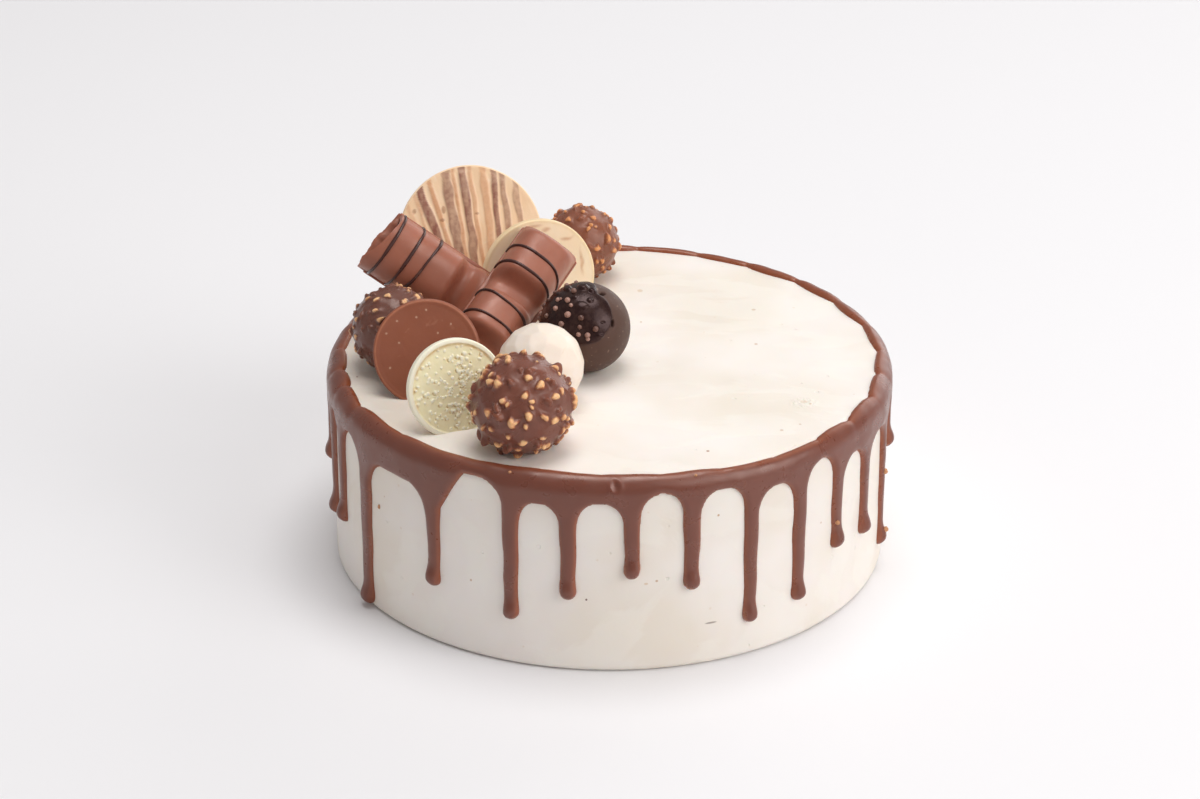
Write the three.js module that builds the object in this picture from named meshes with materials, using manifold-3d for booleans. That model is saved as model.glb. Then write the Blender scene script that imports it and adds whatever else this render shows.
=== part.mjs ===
// A round white chocolate cake with a milk chocolate drip and a crescent of chocolates on top.
// Millimetres, +Z up. The origin is the centre of the flat base; -Y is the front.
import * as THREE from 'three';
import { ParametricGeometry } from 'three/addons/geometries/ParametricGeometry.js';
import { mergeVertices } from 'three/addons/utils/BufferGeometryUtils.js';
import Module from 'manifold-3d';

const wasm = await Module();
wasm.setup();

// Cake
const CAKE_RADIUS = 90;
const CAKE_TOP = 65.4;
const RIM_ROUND = 4.5;
const FOOT_ROUND = 1.0;
const CAKE_SEGMENTS = 72;
const RIM_STEPS = 4;

// Clearance left between pieces that touch
const GAP = 0.3;

// Edges that matter less than this are left out where pieces are fused
const SLIVER = 0.08;

// Chocolate drip: a ring over the rim, and the runs that hang from it
const DRIP_GAP = 0.4;
const RING_THICKNESS = 1.9;
const RING_EDGE = 0.3;
const INNER_EDGE_WAVE = 0.8;
const RUN_WIDTH = 5.2;
const RUN_THICKNESS = 1.7;
const BULB_WIDTH = 5.8;
const BULB_THICKNESS = 2.9;
const BULB_LENGTH = 7.5;
const NECK_HEIGHT = 11;
const NECK_REACH = 9;
const RUN_SECTION_POINTS = 5;
const RUN_BACK_POINTS = 2;
const BACK_RUN_SPACING = 13.4;

// Runs that show: azimuth in degrees, height of the tip, height of the arch to the next run
const FRONT_RUNS = [
  { azimuth: -176, tip: 31, arch: 56 },
  { azimuth: -167.6, tip: 18, arch: 58 },
  { azimuth: -160, tip: 21, arch: 56.9 },
  { azimuth: -147.9, tip: 1.2, arch: 53.6 },
  { azimuth: -127, tip: 20.3, arch: 62.5 },
  { azimuth: -109.6, tip: 15.8, arch: 57.4 },
  { azimuth: -98.1, tip: 25, arch: 58.5 },
  { azimuth: -85.7, tip: 32.5, arch: 61.2 },
  { azimuth: -73.9, tip: 27.2, arch: 60.4 },
  { azimuth: -61.3, tip: 11.7, arch: 57.2 },
  { azimuth: -49.5, tip: 13.6, arch: 60 },
  { azimuth: -38.2, tip: 25.3, arch: 55.4 },
  { azimuth: -26.9, tip: 22.3, arch: 54.9 },
  { azimuth: -14.2, tip: 8.5, arch: 57 },
  { azimuth: -4, tip: 36, arch: 57.5 },
];

// Balls: centre, radius, and how many small pieces are stuck on
const BALLS = {
  ball_front: { centre: [-26.8, -65.9, 79.9], radius: 15.2, nubs: 42, nub: 1.6, seed: 11 },
  ball_left: { centre: [-68.9, -7.9, 78.6], radius: 13.7, nubs: 32, nub: 1.4, seed: 23 },
  ball_back: { centre: [-9.6, 64.8, 77.4], radius: 12.6, nubs: 26, nub: 1.3, seed: 37 },
  dark_ball: { centre: [-7.9, -8.9, 79.5], radius: 14.6, seed: 71 },
  white_ball: { centre: [-21.6, -35.9, 78.6], radius: 13.7 },
};
const BALL_SINK = 0.5;
const BALL_CUTTER_GAP = 0.4;
const SPHERE_DETAIL = 3;

// Pearls on the dark ball: how many places on the whole ball, and the cap that has them
const PEARL_PLACES = 96;
const PEARL_MISSING = 0.35;
const PEARL_RADIUS = 0.95;
const PEARL_CAP = new THREE.Vector3(-0.62, -0.35, 0.7).normalize();
const PEARL_CAP_REACH = 0.5;

// Discs: centre of the front face, radius, thickness, turn about Z and lean back in degrees
const DISCS = {
  striped_disc: { centre: [-46.6, 54.6, 83.7], radius: 24.2, thickness: 3, yaw: 8, lean: 24, recess: 0 },
  marbled_disc: { centre: [-23.2, 34, 78.1], radius: 19.4, thickness: 3, yaw: 20, lean: 12, recess: 0 },
  milk_disc: { centre: [-57.6, -26.1, 78.6], radius: 17, thickness: 2.6, yaw: 5, lean: 26, recess: 0 },
  pale_disc: { centre: [-47.1, -51.6, 78.2], radius: 15.6, thickness: 3, yaw: 20, lean: 18, recess: 0.8 },
};
const DISC_SEGMENTS = 36;
const DISC_EDGE = 0.5;
const DISC_RIM_WIDTH = 1.5;

// Bars: middle of the base at the raised end, the way they run down, and their humps.
// A stripe is where it crosses the middle of the dome, and how far it slants.
const BARS = {
  bar_left: {
    start: [-74.5, 24.4, 94.6], heading: -2.5, dip: 35.6, roll: 62.5,
    length: 36.5, width: 23, height: 14, endHeight: 13,
    lip: 2.4, lipSkew: 1.9, pocket: 3, brokenReach: 4.6,
    necks: [28.2], stripes: [[1.2, 0.3], [8.2, 0.5], [13.8, 4.4]],
  },
  bar_right: {
    start: [-20, 32.7, 89.7], heading: -119.6, dip: 22.4, roll: -32.4,
    length: 55, width: 21.5, height: 14.5, endHeight: 5,
    lip: 0, lipSkew: 0, pocket: 0, brokenReach: 0,
    necks: [29.5, 54.5], stripes: [[15.4, 4], [22.4, 2], [37.2, 5], [45.6, 1.5]],
  },
};
const BAR_STATIONS = 18;
const BAR_CUTTER_GAP = 0.95;
const BAR_BASE = 2;
const BAR_DOME_POINTS = 9;
const NECK_DEPTH = 4.8;
const NECK_WIDTH = 3.9;
const BROKEN_END_PEAK = 0.72;
const BROKEN_END_RETURN = 0.45;
const STRIPE_STEPS = 10;
const STRIPE_WIDTH = 0.9;
const STRIPE_HEIGHT = 0.45;
const STRIPE_ROOT = 0.6;

const COLOURS = {
  icing: 0xf1e8da,
  milk: 0x7a4a3c,
  nuts: 0x855140,
  dark: 0x2b1d1c,
  white: 0xeadcc8,
  blond: 0xe3c193,
  ivory: 0xecd7b2,
  pale: 0xe8dfb8,
};

// ---------------------------------------------------------------- helpers

function seededRandom(seed) {
  let state = seed >>> 0;
  return () => {
    state = (state + 0x6d2b79f5) >>> 0;
    let t = state;
    t = Math.imul(t ^ (t >>> 15), t | 1);
    t ^= t + Math.imul(t ^ (t >>> 7), t | 61);
    return ((t ^ (t >>> 14)) >>> 0) / 4294967296;
  };
}

function radians(degrees) {
  return THREE.MathUtils.degToRad(degrees);
}

// A closed indexed geometry with shared vertices, no slivers without area, and faces outward.
function closed(geometry) {
  geometry.deleteAttribute('normal');
  geometry.deleteAttribute('uv');
  const merged = mergeVertices(geometry, 1e-4);
  const index = merged.index.array;
  const position = merged.attributes.position;
  const kept = [];
  let volume = 0;
  const a = new THREE.Vector3();
  const b = new THREE.Vector3();
  const c = new THREE.Vector3();
  for (let i = 0; i < index.length; i += 3) {
    const [p, q, r] = [index[i], index[i + 1], index[i + 2]];
    if (p === q || q === r || r === p) continue;
    kept.push(p, q, r);
    a.fromBufferAttribute(position, p);
    b.fromBufferAttribute(position, q);
    c.fromBufferAttribute(position, r);
    volume += a.dot(b.cross(c));
  }
  if (volume < 0) kept.reverse();
  merged.setIndex(kept);
  return merged;
}

function toSolid(geometry) {
  const mesh = new wasm.Mesh({
    numProp: 3,
    vertProperties: Float32Array.from(geometry.attributes.position.array),
    triVerts: Uint32Array.from(geometry.index.array),
  });
  return new wasm.Manifold(mesh);
}

function toGeometry(solid) {
  const mesh = solid.getMesh();
  const geometry = new THREE.BufferGeometry();
  geometry.setAttribute('position', new THREE.BufferAttribute(mesh.vertProperties, 3));
  geometry.setIndex(new THREE.BufferAttribute(mesh.triVerts, 1));
  geometry.computeVertexNormals();
  return geometry;
}

// A closed surface from rows of points; the first and last rows may shrink to one point.
function surfaceOfRows(rows, around) {
  const stacks = rows.length - 1;
  const point = (u, v, target) => {
    const row = rows[Math.round(v * stacks)];
    target.copy(row[Math.round(u * around) % around]);
  };
  return closed(new ParametricGeometry(point, around, stacks));
}

// A profile of [radius, height] pairs turned about the Z axis.
function turned(profile, segments) {
  const points = profile.map(([radius, height]) => new THREE.Vector2(radius, height));
  const geometry = new THREE.LatheGeometry(points, segments);
  geometry.rotateX(Math.PI / 2);
  return closed(geometry);
}

function joinAll(solids) {
  return wasm.Manifold.union(solids);
}

function largestPiece(solid) {
  const pieces = solid.decompose();
  pieces.sort((p, q) => q.volume() - p.volume());
  return pieces[0];
}

// ---------------------------------------------------------------- the cake's own surface

const RIM_ARC = RIM_ROUND * Math.PI / 2;

// A point on the cake's profile, by the distance outward and down from where the rim starts to round.
function cakeSurface(distance) {
  const inner = CAKE_RADIUS - RIM_ROUND;
  const shoulder = CAKE_TOP - RIM_ROUND;
  if (distance <= 0) {
    return { radius: inner + distance, height: CAKE_TOP, outward: 0, upward: 1 };
  }
  if (distance < RIM_ARC) {
    const turn = distance / RIM_ROUND;
    return {
      radius: inner + RIM_ROUND * Math.sin(turn),
      height: shoulder + RIM_ROUND * Math.cos(turn),
      outward: Math.sin(turn),
      upward: Math.cos(turn),
    };
  }
  return { radius: CAKE_RADIUS, height: shoulder - (distance - RIM_ARC), outward: 1, upward: 0 };
}

function distanceAtHeight(height) {
  const shoulder = CAKE_TOP - RIM_ROUND;
  if (height <= shoulder) return RIM_ARC + shoulder - height;
  return RIM_ROUND * Math.acos((height - shoulder) / RIM_ROUND);
}

function onCake(azimuth, distance, lift, sideways = 0) {
  const { radius, height, outward, upward } = cakeSurface(distance);
  const r = radius + lift * outward;
  const angle = azimuth + sideways / CAKE_RADIUS;
  return new THREE.Vector3(r * Math.cos(angle), r * Math.sin(angle), height + lift * upward);
}

function cakeProfile() {
  const profile = [[0, 0], [CAKE_RADIUS - FOOT_ROUND, 0], [CAKE_RADIUS, FOOT_ROUND]];
  for (let i = 0; i <= RIM_STEPS; i++) {
    const { radius, height } = cakeSurface(RIM_ARC * (1 - i / RIM_STEPS));
    profile.push([radius, height]);
  }
  profile.push([0, CAKE_TOP]);
  return profile;
}

// ---------------------------------------------------------------- chocolate drip

function allRuns() {
  const random = seededRandom(5);
  const runs = FRONT_RUNS.map((run) => ({ ...run, width: RUN_WIDTH * (0.93 + 0.14 * random()) }));
  const last = FRONT_RUNS[FRONT_RUNS.length - 1].azimuth;
  const end = FRONT_RUNS[0].azimuth + 360;
  const count = Math.round((end - last) / BACK_RUN_SPACING) - 1;
  for (let i = 1; i <= count; i++) {
    const azimuth = last + (end - last) * i / (count + 1) + 2.4 * (random() - 0.5);
    runs.push({
      azimuth,
      tip: 9 + 30 * random(),
      arch: 55 + 6 * random(),
      width: RUN_WIDTH * (0.93 + 0.14 * random()),
    });
  }
  return runs;
}

// The ring's lower edge: each arch's height holds midway between two runs.
function archHeight(runs, azimuth) {
  const mids = runs.map((run, i) => {
    const next = runs[(i + 1) % runs.length];
    const span = (next.azimuth - run.azimuth + 360) % 360;
    return { at: run.azimuth + span / 2, arch: run.arch };
  });
  for (let i = 0; i < mids.length; i++) {
    const next = mids[(i + 1) % mids.length];
    const span = (next.at - mids[i].at + 720) % 360;
    const along = (azimuth - mids[i].at + 720) % 360;
    if (along <= span) {
      const blend = THREE.MathUtils.smoothstep(along / span, 0, 1);
      return mids[i].arch + (next.arch - mids[i].arch) * blend;
    }
  }
  return mids[0].arch;
}

function roundedThickness(fraction) {
  const across = 2 * fraction - 1;
  return RING_EDGE + (RING_THICKNESS - RING_EDGE) * Math.sqrt(1 - across ** 4);
}

function ringSolid(runs) {
  const outerSteps = 4;
  const innerSteps = RIM_STEPS + 1;
  const rows = [];
  for (let column = 0; column <= CAKE_SEGMENTS; column++) {
    const degrees = 360 * (column % CAKE_SEGMENTS) / CAKE_SEGMENTS - 180;
    const azimuth = radians(degrees);
    const wave = Math.sin(5 * azimuth + 1) + 0.7 * Math.sin(11 * azimuth) + 0.5 * Math.sin(23 * azimuth + 2);
    const from = INNER_EDGE_WAVE * wave * 0.6;
    const to = distanceAtHeight(archHeight(runs, degrees));
    const row = [];
    for (let i = 0; i <= outerSteps; i++) {
      const fraction = i / outerSteps;
      row.push(onCake(azimuth, from + (to - from) * fraction, DRIP_GAP + roundedThickness(fraction)));
    }
    for (let i = innerSteps; i >= 0; i--) {
      const corner = i === 0 ? from : RIM_ARC * i / RIM_STEPS;
      const distance = Math.min(i === innerSteps ? to : corner, to - 0.2 * (innerSteps - i));
      row.push(onCake(azimuth, distance, DRIP_GAP));
    }
    rows.push(row);
  }
  return toSolid(surfaceOfRows(rows, rows[0].length));
}

// How far a run's side has spread at a height, as it widens in a quarter ellipse into the arch.
function neckSpread(height, arch) {
  const up = THREE.MathUtils.clamp((height - (arch - NECK_HEIGHT)) / NECK_HEIGHT, 0, 1);
  return 1 - Math.sqrt(1 - up * up);
}

function runSolid(runs, i) {
  const run = runs[i];
  const before = runs[(i + runs.length - 1) % runs.length];
  const after = runs[(i + 1) % runs.length];
  const reach = (from, to) => {
    const span = radians((to.azimuth - from.azimuth + 360) % 360) * CAKE_RADIUS;
    return Math.min((span - run.width) / 2, NECK_REACH);
  };
  const top = Math.max(distanceAtHeight(Math.max(run.arch, before.arch)) - 1, RIM_ARC);
  const low = distanceAtHeight(Math.min(run.arch, before.arch));
  const tip = distanceAtHeight(run.tip);
  const levels = [top, low, low + 3, low + 6.5, low + NECK_HEIGHT];
  levels.push(tip - BULB_LENGTH, tip - 0.45 * BULB_LENGTH, tip - 0.14 * BULB_LENGTH, tip);
  const ends = [0, levels.length - 1];
  const rows = levels.map((distance, level) => {
    const { height } = cakeSurface(distance);
    const fromTip = Math.max(0, tip - distance) / BULB_LENGTH;
    const bulb = Math.exp(-(((fromTip - 0.4) / 0.38) ** 2));
    const round = fromTip < 0.4 ? Math.sqrt(Math.max(0, 1 - ((0.4 - fromTip) / 0.4) ** 2)) : 1;
    const half = round * (run.width + (BULB_WIDTH - RUN_WIDTH) * bulb) / 2;
    const thick = round * (RUN_THICKNESS + (BULB_THICKNESS - RUN_THICKNESS) * bulb);
    const left = half + reach(before, run) * neckSpread(height, before.arch);
    const right = half + reach(run, after) * neckSpread(height, run.arch);
    const isEnd = ends.includes(level);
    const place = (side, lift) => {
      const sideways = isEnd ? 0 : side * (side < 0 ? left : right);
      return onCake(radians(run.azimuth), distance, DRIP_GAP + (isEnd ? 0.5 : lift * thick), sideways);
    };
    const row = [];
    for (let k = 0; k < RUN_SECTION_POINTS; k++) {
      const angle = Math.PI * k / (RUN_SECTION_POINTS - 1);
      row.push(place(Math.cos(angle), Math.sin(angle)));
    }
    for (let k = 1; k <= RUN_BACK_POINTS; k++) {
      row.push(place(2 * k / (RUN_BACK_POINTS + 1) - 1, 0));
    }
    return row;
  });
  return toSolid(surfaceOfRows(rows, RUN_SECTION_POINTS + RUN_BACK_POINTS));
}

function ganacheSolid() {
  const runs = allRuns();
  const parts = [ringSolid(runs)];
  for (let i = 0; i < runs.length; i++) {
    parts.push(runSolid(runs, i));
  }
  return joinAll(parts).simplify(SLIVER);
}

// ---------------------------------------------------------------- balls

function ballBody({ centre, radius }, detail, grow = 0) {
  const geometry = closed(new THREE.IcosahedronGeometry(radius + grow, detail));
  const foot = CAKE_TOP - BALL_SINK - grow;
  return toSolid(geometry).translate(centre).trimByPlane([0, 0, 1], foot);
}

// Evenly spread directions over a sphere, each moved a little.
function spreadDirections(count, random, jitter) {
  const golden = Math.PI * (3 - Math.sqrt(5));
  const directions = [];
  for (let i = 0; i < count; i++) {
    const z = 1 - 2 * (i + 0.5) / count;
    const turn = golden * i + jitter * (random() - 0.5);
    const across = Math.sqrt(1 - z * z);
    const direction = new THREE.Vector3(across * Math.cos(turn), across * Math.sin(turn), z);
    direction.z += jitter * (random() - 0.5) * 0.5;
    directions.push(direction.normalize());
  }
  return directions;
}

// A chopped nut piece or a crisp pearl: a small lump pressed into the ball.
function nubSolid(lump, centre, direction, distance, size, random) {
  const geometry = lump.clone();
  const stretch = 0.8 + 0.6 * random();
  geometry.scale(size * stretch, size * (0.75 + 0.3 * random()), size * 0.8);
  geometry.rotateZ(2 * Math.PI * random());
  const turn = new THREE.Quaternion().setFromUnitVectors(new THREE.Vector3(0, 0, 1), direction);
  geometry.applyQuaternion(turn);
  const place = direction.clone().multiplyScalar(distance).add(new THREE.Vector3(...centre));
  geometry.translate(place.x, place.y, place.z);
  return toSolid(closed(geometry));
}

function nutBallSolid(spec, obstacles) {
  const random = seededRandom(spec.seed);
  const chip = new THREE.OctahedronGeometry(1, 0);
  const parts = [ballBody(spec, SPHERE_DETAIL)];
  for (const direction of spreadDirections(spec.nubs, random, 0.5)) {
    const size = spec.nub * (0.85 + 0.45 * random());
    const nub = nubSolid(chip, spec.centre, direction, spec.radius, size, random);
    if (nub.boundingBox().min[2] < CAKE_TOP + 1) continue;
    if (!nub.intersect(obstacles).isEmpty()) continue;
    parts.push(nub);
  }
  return largestPiece(joinAll(parts)).simplify(SLIVER);
}

function darkBallSolid(spec) {
  const random = seededRandom(spec.seed);
  const pearl = new THREE.IcosahedronGeometry(1, 0);
  const parts = [ballBody(spec, SPHERE_DETAIL)];
  for (const direction of spreadDirections(PEARL_PLACES, random, 0.7)) {
    if (direction.dot(PEARL_CAP) < PEARL_CAP_REACH || random() < PEARL_MISSING) continue;
    const size = PEARL_RADIUS * (0.8 + 0.35 * random());
    parts.push(nubSolid(pearl, spec.centre, direction, spec.radius, size, random));
  }
  return largestPiece(joinAll(parts)).simplify(SLIVER);
}

function whiteBallSolid(spec) {
  return ballBody(spec, 2);
}

// ---------------------------------------------------------------- discs

function discGeometry({ radius, thickness, recess }, grow = 0) {
  const r = radius + grow;
  const back = -thickness - grow;
  const profile = [[0, back], [r - DISC_EDGE, back], [r, back + DISC_EDGE], [r, grow - DISC_EDGE]];
  profile.push([r - DISC_EDGE, grow]);
  if (recess > 0 && grow === 0) {
    profile.push([r - DISC_RIM_WIDTH, 0], [r - DISC_RIM_WIDTH - recess, -recess], [0, -recess]);
  } else {
    profile.push([0, grow]);
  }
  return turned(profile, DISC_SEGMENTS);
}

function discPlace({ centre, yaw, lean }) {
  const turn = radians(yaw);
  const tilt = radians(lean);
  const across = new THREE.Vector3(Math.cos(turn), Math.sin(turn), 0);
  const facing = new THREE.Vector3(Math.sin(turn), -Math.cos(turn), 0);
  const face = facing.clone().multiplyScalar(Math.cos(tilt)).add(new THREE.Vector3(0, 0, Math.sin(tilt)));
  const upward = new THREE.Vector3().crossVectors(face, across);
  const place = new THREE.Matrix4().makeBasis(across, upward, face);
  return place.setPosition(new THREE.Vector3(...centre));
}

// ---------------------------------------------------------------- bars

// Height of a bar's dome above its base at a distance from the raised end.
function barHeight(bar, along) {
  const rise = THREE.MathUtils.smoothstep(along, -1, 8);
  let height = bar.endHeight + (bar.height - bar.endHeight) * rise;
  for (const neck of bar.necks) {
    height -= NECK_DEPTH * Math.exp(-(((along - neck) / NECK_WIDTH) ** 2));
  }
  return height;
}

// A point on the dome of a bar's section: turn runs from 0 at one foot to pi at the other.
function domePoint(bar, along, turn, grow = 0) {
  const tallness = barHeight(bar, along) - BAR_BASE;
  const pinch = 1 - 0.012 * (bar.height - barHeight(bar, Math.max(along, 8)));
  const half = (bar.width / 2 - 0.6) * pinch;
  const across = Math.sign(Math.cos(turn)) * Math.abs(Math.cos(turn)) ** 0.72;
  const upward = Math.abs(Math.sin(turn)) ** 0.8;
  return new THREE.Vector3(along, across * (half + grow), BAR_BASE + upward * tallness + grow * upward);
}

// How far the dome runs out past a broken end, at the turn from one foot of the dome to the other.
function brokenEnd(bar, turn) {
  const share = turn / Math.PI;
  const out = THREE.MathUtils.smoothstep(share, 0, BROKEN_END_PEAK);
  const back = THREE.MathUtils.smoothstep(share, BROKEN_END_PEAK, 1);
  return bar.brokenReach * (out - BROKEN_END_RETURN * back);
}

function barSection(bar, along, grow) {
  const half = bar.width / 2 + grow;
  const points = [new THREE.Vector3(along, -half, -grow), new THREE.Vector3(along, half, -grow)];
  points.push(new THREE.Vector3(along, half, BAR_BASE));
  for (let i = 0; i < BAR_DOME_POINTS; i++) {
    const turn = Math.PI * i / (BAR_DOME_POINTS - 1);
    const point = domePoint(bar, along, turn, grow);
    if (along <= 0) point.x -= brokenEnd(bar, turn);
    points.push(point);
  }
  points.push(new THREE.Vector3(along, -half, BAR_BASE));
  return points;
}

function loft(sections) {
  const middle = (points) => {
    const sum = points.reduce((total, point) => total.add(point), new THREE.Vector3());
    return sum.divideScalar(points.length);
  };
  const first = sections[0];
  const last = sections[sections.length - 1];
  const rows = [first.map(() => middle(first)), ...sections, last.map(() => middle(last))];
  return toSolid(surfaceOfRows(rows, first.length));
}

function barBlank(bar, grow = 0) {
  const places = [];
  for (let i = 0; i < BAR_STATIONS; i++) {
    places.push(bar.length * i / (BAR_STATIONS - 1));
  }
  places[0] -= grow;
  places[BAR_STATIONS - 1] += grow;
  return loft(places.map((along) => barSection(bar, along, grow)));
}

// The base that sticks out past the dome at a broken end, further on one side than on the other.
function barLip(bar) {
  const tray = (along, skew, half, high) => [[half, 0], [half, high], [-half, high], [-half, 0]]
    .map(([y, z]) => new THREE.Vector3(along + (y > 0 ? skew : 0), y, z));
  const half = bar.width / 2;
  const outer = tray(-bar.lip, bar.lipSkew, half - 0.6, BAR_BASE + 1);
  const inner = tray(1, 0, half, BAR_BASE);
  return loft([outer, inner]);
}

function barPocket(bar) {
  const shrink = (along, scale) => {
    const centre = new THREE.Vector3(0, 0, bar.endHeight / 2);
    return barSection(bar, along, 0).map((point) => {
      const inner = point.clone().sub(centre);
      return new THREE.Vector3(along, inner.y * scale, inner.z * scale).add(centre);
    });
  };
  const outside = -bar.lip - bar.brokenReach - 1;
  return loft([shrink(outside, 0.84), shrink(0, 0.82), shrink(bar.pocket, 0.66)]);
}

// A thin line of dark chocolate laid across the dome.
function stripeSolid(bar, along, slant) {
  const sections = [];
  for (let i = 0; i <= STRIPE_STEPS; i++) {
    const fraction = i / STRIPE_STEPS;
    const turn = Math.PI * (0.04 + 0.92 * fraction);
    const at = along + slant * (0.5 - fraction);
    const surface = domePoint(bar, at, turn);
    const axis = new THREE.Vector3(at, 0, BAR_BASE);
    const outward = surface.clone().sub(axis).normalize();
    const forward = new THREE.Vector3(1, 0, 0);
    const corner = (side, lift) => surface.clone()
      .addScaledVector(forward, side * STRIPE_WIDTH / 2)
      .addScaledVector(outward, lift);
    const root = [corner(-1, -STRIPE_ROOT), corner(1, -STRIPE_ROOT)];
    sections.push([...root, corner(0.6, STRIPE_HEIGHT), corner(-0.6, STRIPE_HEIGHT)]);
  }
  return loft(sections);
}

function barSolid(bar) {
  const parts = [barBlank(bar)];
  if (bar.lip > 0) parts.push(barLip(bar));
  let solid = joinAll(parts);
  if (bar.pocket > 0) solid = solid.subtract(barPocket(bar));
  const stripes = bar.stripes.map(([along, slant]) => stripeSolid(bar, along, slant));
  return largestPiece(joinAll([solid, ...stripes])).simplify(SLIVER);
}

function barPlace({ start, heading, dip, roll }) {
  const turn = radians(heading);
  const down = radians(dip);
  const axis = new THREE.Vector3(
    Math.cos(turn) * Math.cos(down),
    Math.sin(turn) * Math.cos(down),
    -Math.sin(down),
  );
  const upright = new THREE.Vector3(0, 0, 1).addScaledVector(axis, -axis.z).normalize();
  const dome = upright.applyAxisAngle(axis, radians(roll));
  const across = new THREE.Vector3().crossVectors(dome, axis);
  const place = new THREE.Matrix4().makeBasis(axis, across, dome);
  return place.setPosition(new THREE.Vector3(...start));
}

// ---------------------------------------------------------------- assembly

const group = new THREE.Group();

function addPiece(name, geometry, colour, roughness, place = new THREE.Matrix4()) {
  const material = new THREE.MeshStandardMaterial({ color: colour, roughness, metalness: 0 });
  const mesh = new THREE.Mesh(geometry, material);
  mesh.name = name;
  place.decompose(mesh.position, mesh.quaternion, mesh.scale);
  group.add(mesh);
}

function solidAt(geometry, place) {
  const moved = geometry.clone().applyMatrix4(place);
  return toSolid(moved);
}

// What the cake and the balls' nuts have to keep clear of
const cutters = {};
for (const [name, disc] of Object.entries(DISCS)) {
  cutters[name] = solidAt(discGeometry(disc, GAP), discPlace(disc));
}
for (const [name, bar] of Object.entries(BARS)) {
  cutters[name] = solidAt(toGeometry(barBlank(bar, BAR_CUTTER_GAP)), barPlace(bar));
}
for (const [name, ball] of Object.entries(BALLS)) {
  cutters[name] = ballBody(ball, SPHERE_DETAIL, BALL_CUTTER_GAP);
}

const ganache = ganacheSolid();
const cakeBlank = toSolid(turned(cakeProfile(), CAKE_SEGMENTS));
const cake = cakeBlank.subtract(joinAll(Object.values(cutters)));
addPiece('cake_body', toGeometry(largestPiece(cake)), COLOURS.icing, 0.6);
addPiece('ganache_drip', toGeometry(ganache), COLOURS.milk, 0.4);

const DISC_COLOURS = {
  striped_disc: COLOURS.blond,
  marbled_disc: COLOURS.ivory,
  milk_disc: COLOURS.milk,
  pale_disc: COLOURS.pale,
};
for (const [name, disc] of Object.entries(DISCS)) {
  addPiece(name, discGeometry(disc), DISC_COLOURS[name], 0.5, discPlace(disc));
}
for (const [name, bar] of Object.entries(BARS)) {
  addPiece(name, toGeometry(barSolid(bar)), COLOURS.milk, 0.4, barPlace(bar));
}
const ballMakers = {
  ball_front: nutBallSolid,
  ball_left: nutBallSolid,
  ball_back: nutBallSolid,
  dark_ball: darkBallSolid,
  white_ball: whiteBallSolid,
};
const BALL_COLOURS = {
  ball_front: COLOURS.nuts,
  ball_left: COLOURS.nuts,
  ball_back: COLOURS.nuts,
  dark_ball: COLOURS.dark,
  white_ball: COLOURS.white,
};
for (const [name, ball] of Object.entries(BALLS)) {
  const others = Object.keys(cutters).filter((other) => other !== name).map((other) => cutters[other]);
  const solid = ballMakers[name](ball, joinAll(others));
  addPiece(name, toGeometry(solid), BALL_COLOURS[name], 0.45);
}

export default group;
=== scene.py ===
"""The looks of a round white chocolate cake: its icing, its drip and the chocolates on its top.

Sizes are in millimetres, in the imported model's own frame: +Z is up, -Y is the front and the
origin is the centre of the cake's base. They become metres where a mesh is made.
"""
import logging
import math
from collections.abc import Sequence
from dataclasses import dataclass, field, replace
from enum import Enum
from functools import reduce
from itertools import product

import bmesh
import bpy
import numpy as np
from mathutils import Matrix, Vector, kdtree


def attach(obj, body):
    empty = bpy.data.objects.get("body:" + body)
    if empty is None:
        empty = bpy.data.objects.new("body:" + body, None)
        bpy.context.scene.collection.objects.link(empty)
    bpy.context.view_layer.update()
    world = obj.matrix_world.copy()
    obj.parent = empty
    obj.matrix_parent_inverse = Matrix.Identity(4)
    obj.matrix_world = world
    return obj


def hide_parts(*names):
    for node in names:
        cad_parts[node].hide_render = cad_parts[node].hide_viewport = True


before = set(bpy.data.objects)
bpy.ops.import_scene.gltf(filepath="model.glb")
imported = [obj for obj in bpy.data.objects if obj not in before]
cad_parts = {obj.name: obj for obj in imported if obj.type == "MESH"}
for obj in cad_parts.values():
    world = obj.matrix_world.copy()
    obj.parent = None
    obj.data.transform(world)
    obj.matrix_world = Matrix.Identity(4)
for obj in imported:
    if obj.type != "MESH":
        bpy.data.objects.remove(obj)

Array = np.ndarray
Colour = tuple[float, float, float]
Point = tuple[float, float, float]
Socket = bpy.types.NodeSocket
Sockets = bpy.types.bpy_prop_collection

MM = 0.001
LOG = logging.getLogger("cake")
WORD = 0xFFFFFFFF
CELL_PRIMES = (73856093, 19349663, 83492791)
SEED_PRIME = 2654435761
MIXES = ((13, 1274126177), (16, 668265263))


# ---- numbers and noise


class Draw:
    """The seeded random draw of the solids, so that runs fall in the same places."""

    STEP = 0x6D2B79F5

    def __init__(self, seed: int) -> None:
        """Starts the draw at the number that settles every later value."""
        self.state = seed & WORD

    def next(self) -> float:
        """Returns the next value, from 0 to 1."""
        self.state = (self.state + self.STEP) & WORD
        mixed = self.state
        mixed = ((mixed ^ (mixed >> 15)) * (mixed | 1)) & WORD
        mixed ^= (mixed + (((mixed ^ (mixed >> 7)) * (mixed | 61)) & WORD)) & WORD
        return ((mixed ^ (mixed >> 14)) & WORD) / (WORD + 1)


def smooth(value: Array | float) -> Array:
    """Returns value held to 0..1 and eased at both ends."""
    held = np.clip(value, 0.0, 1.0)
    return held * held * (3.0 - 2.0 * held)


def hill(value: Array, width: float) -> Array:
    """Returns 1 where value is 0, and less the further it is from there."""
    return np.exp(-((value / width) ** 2))


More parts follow.
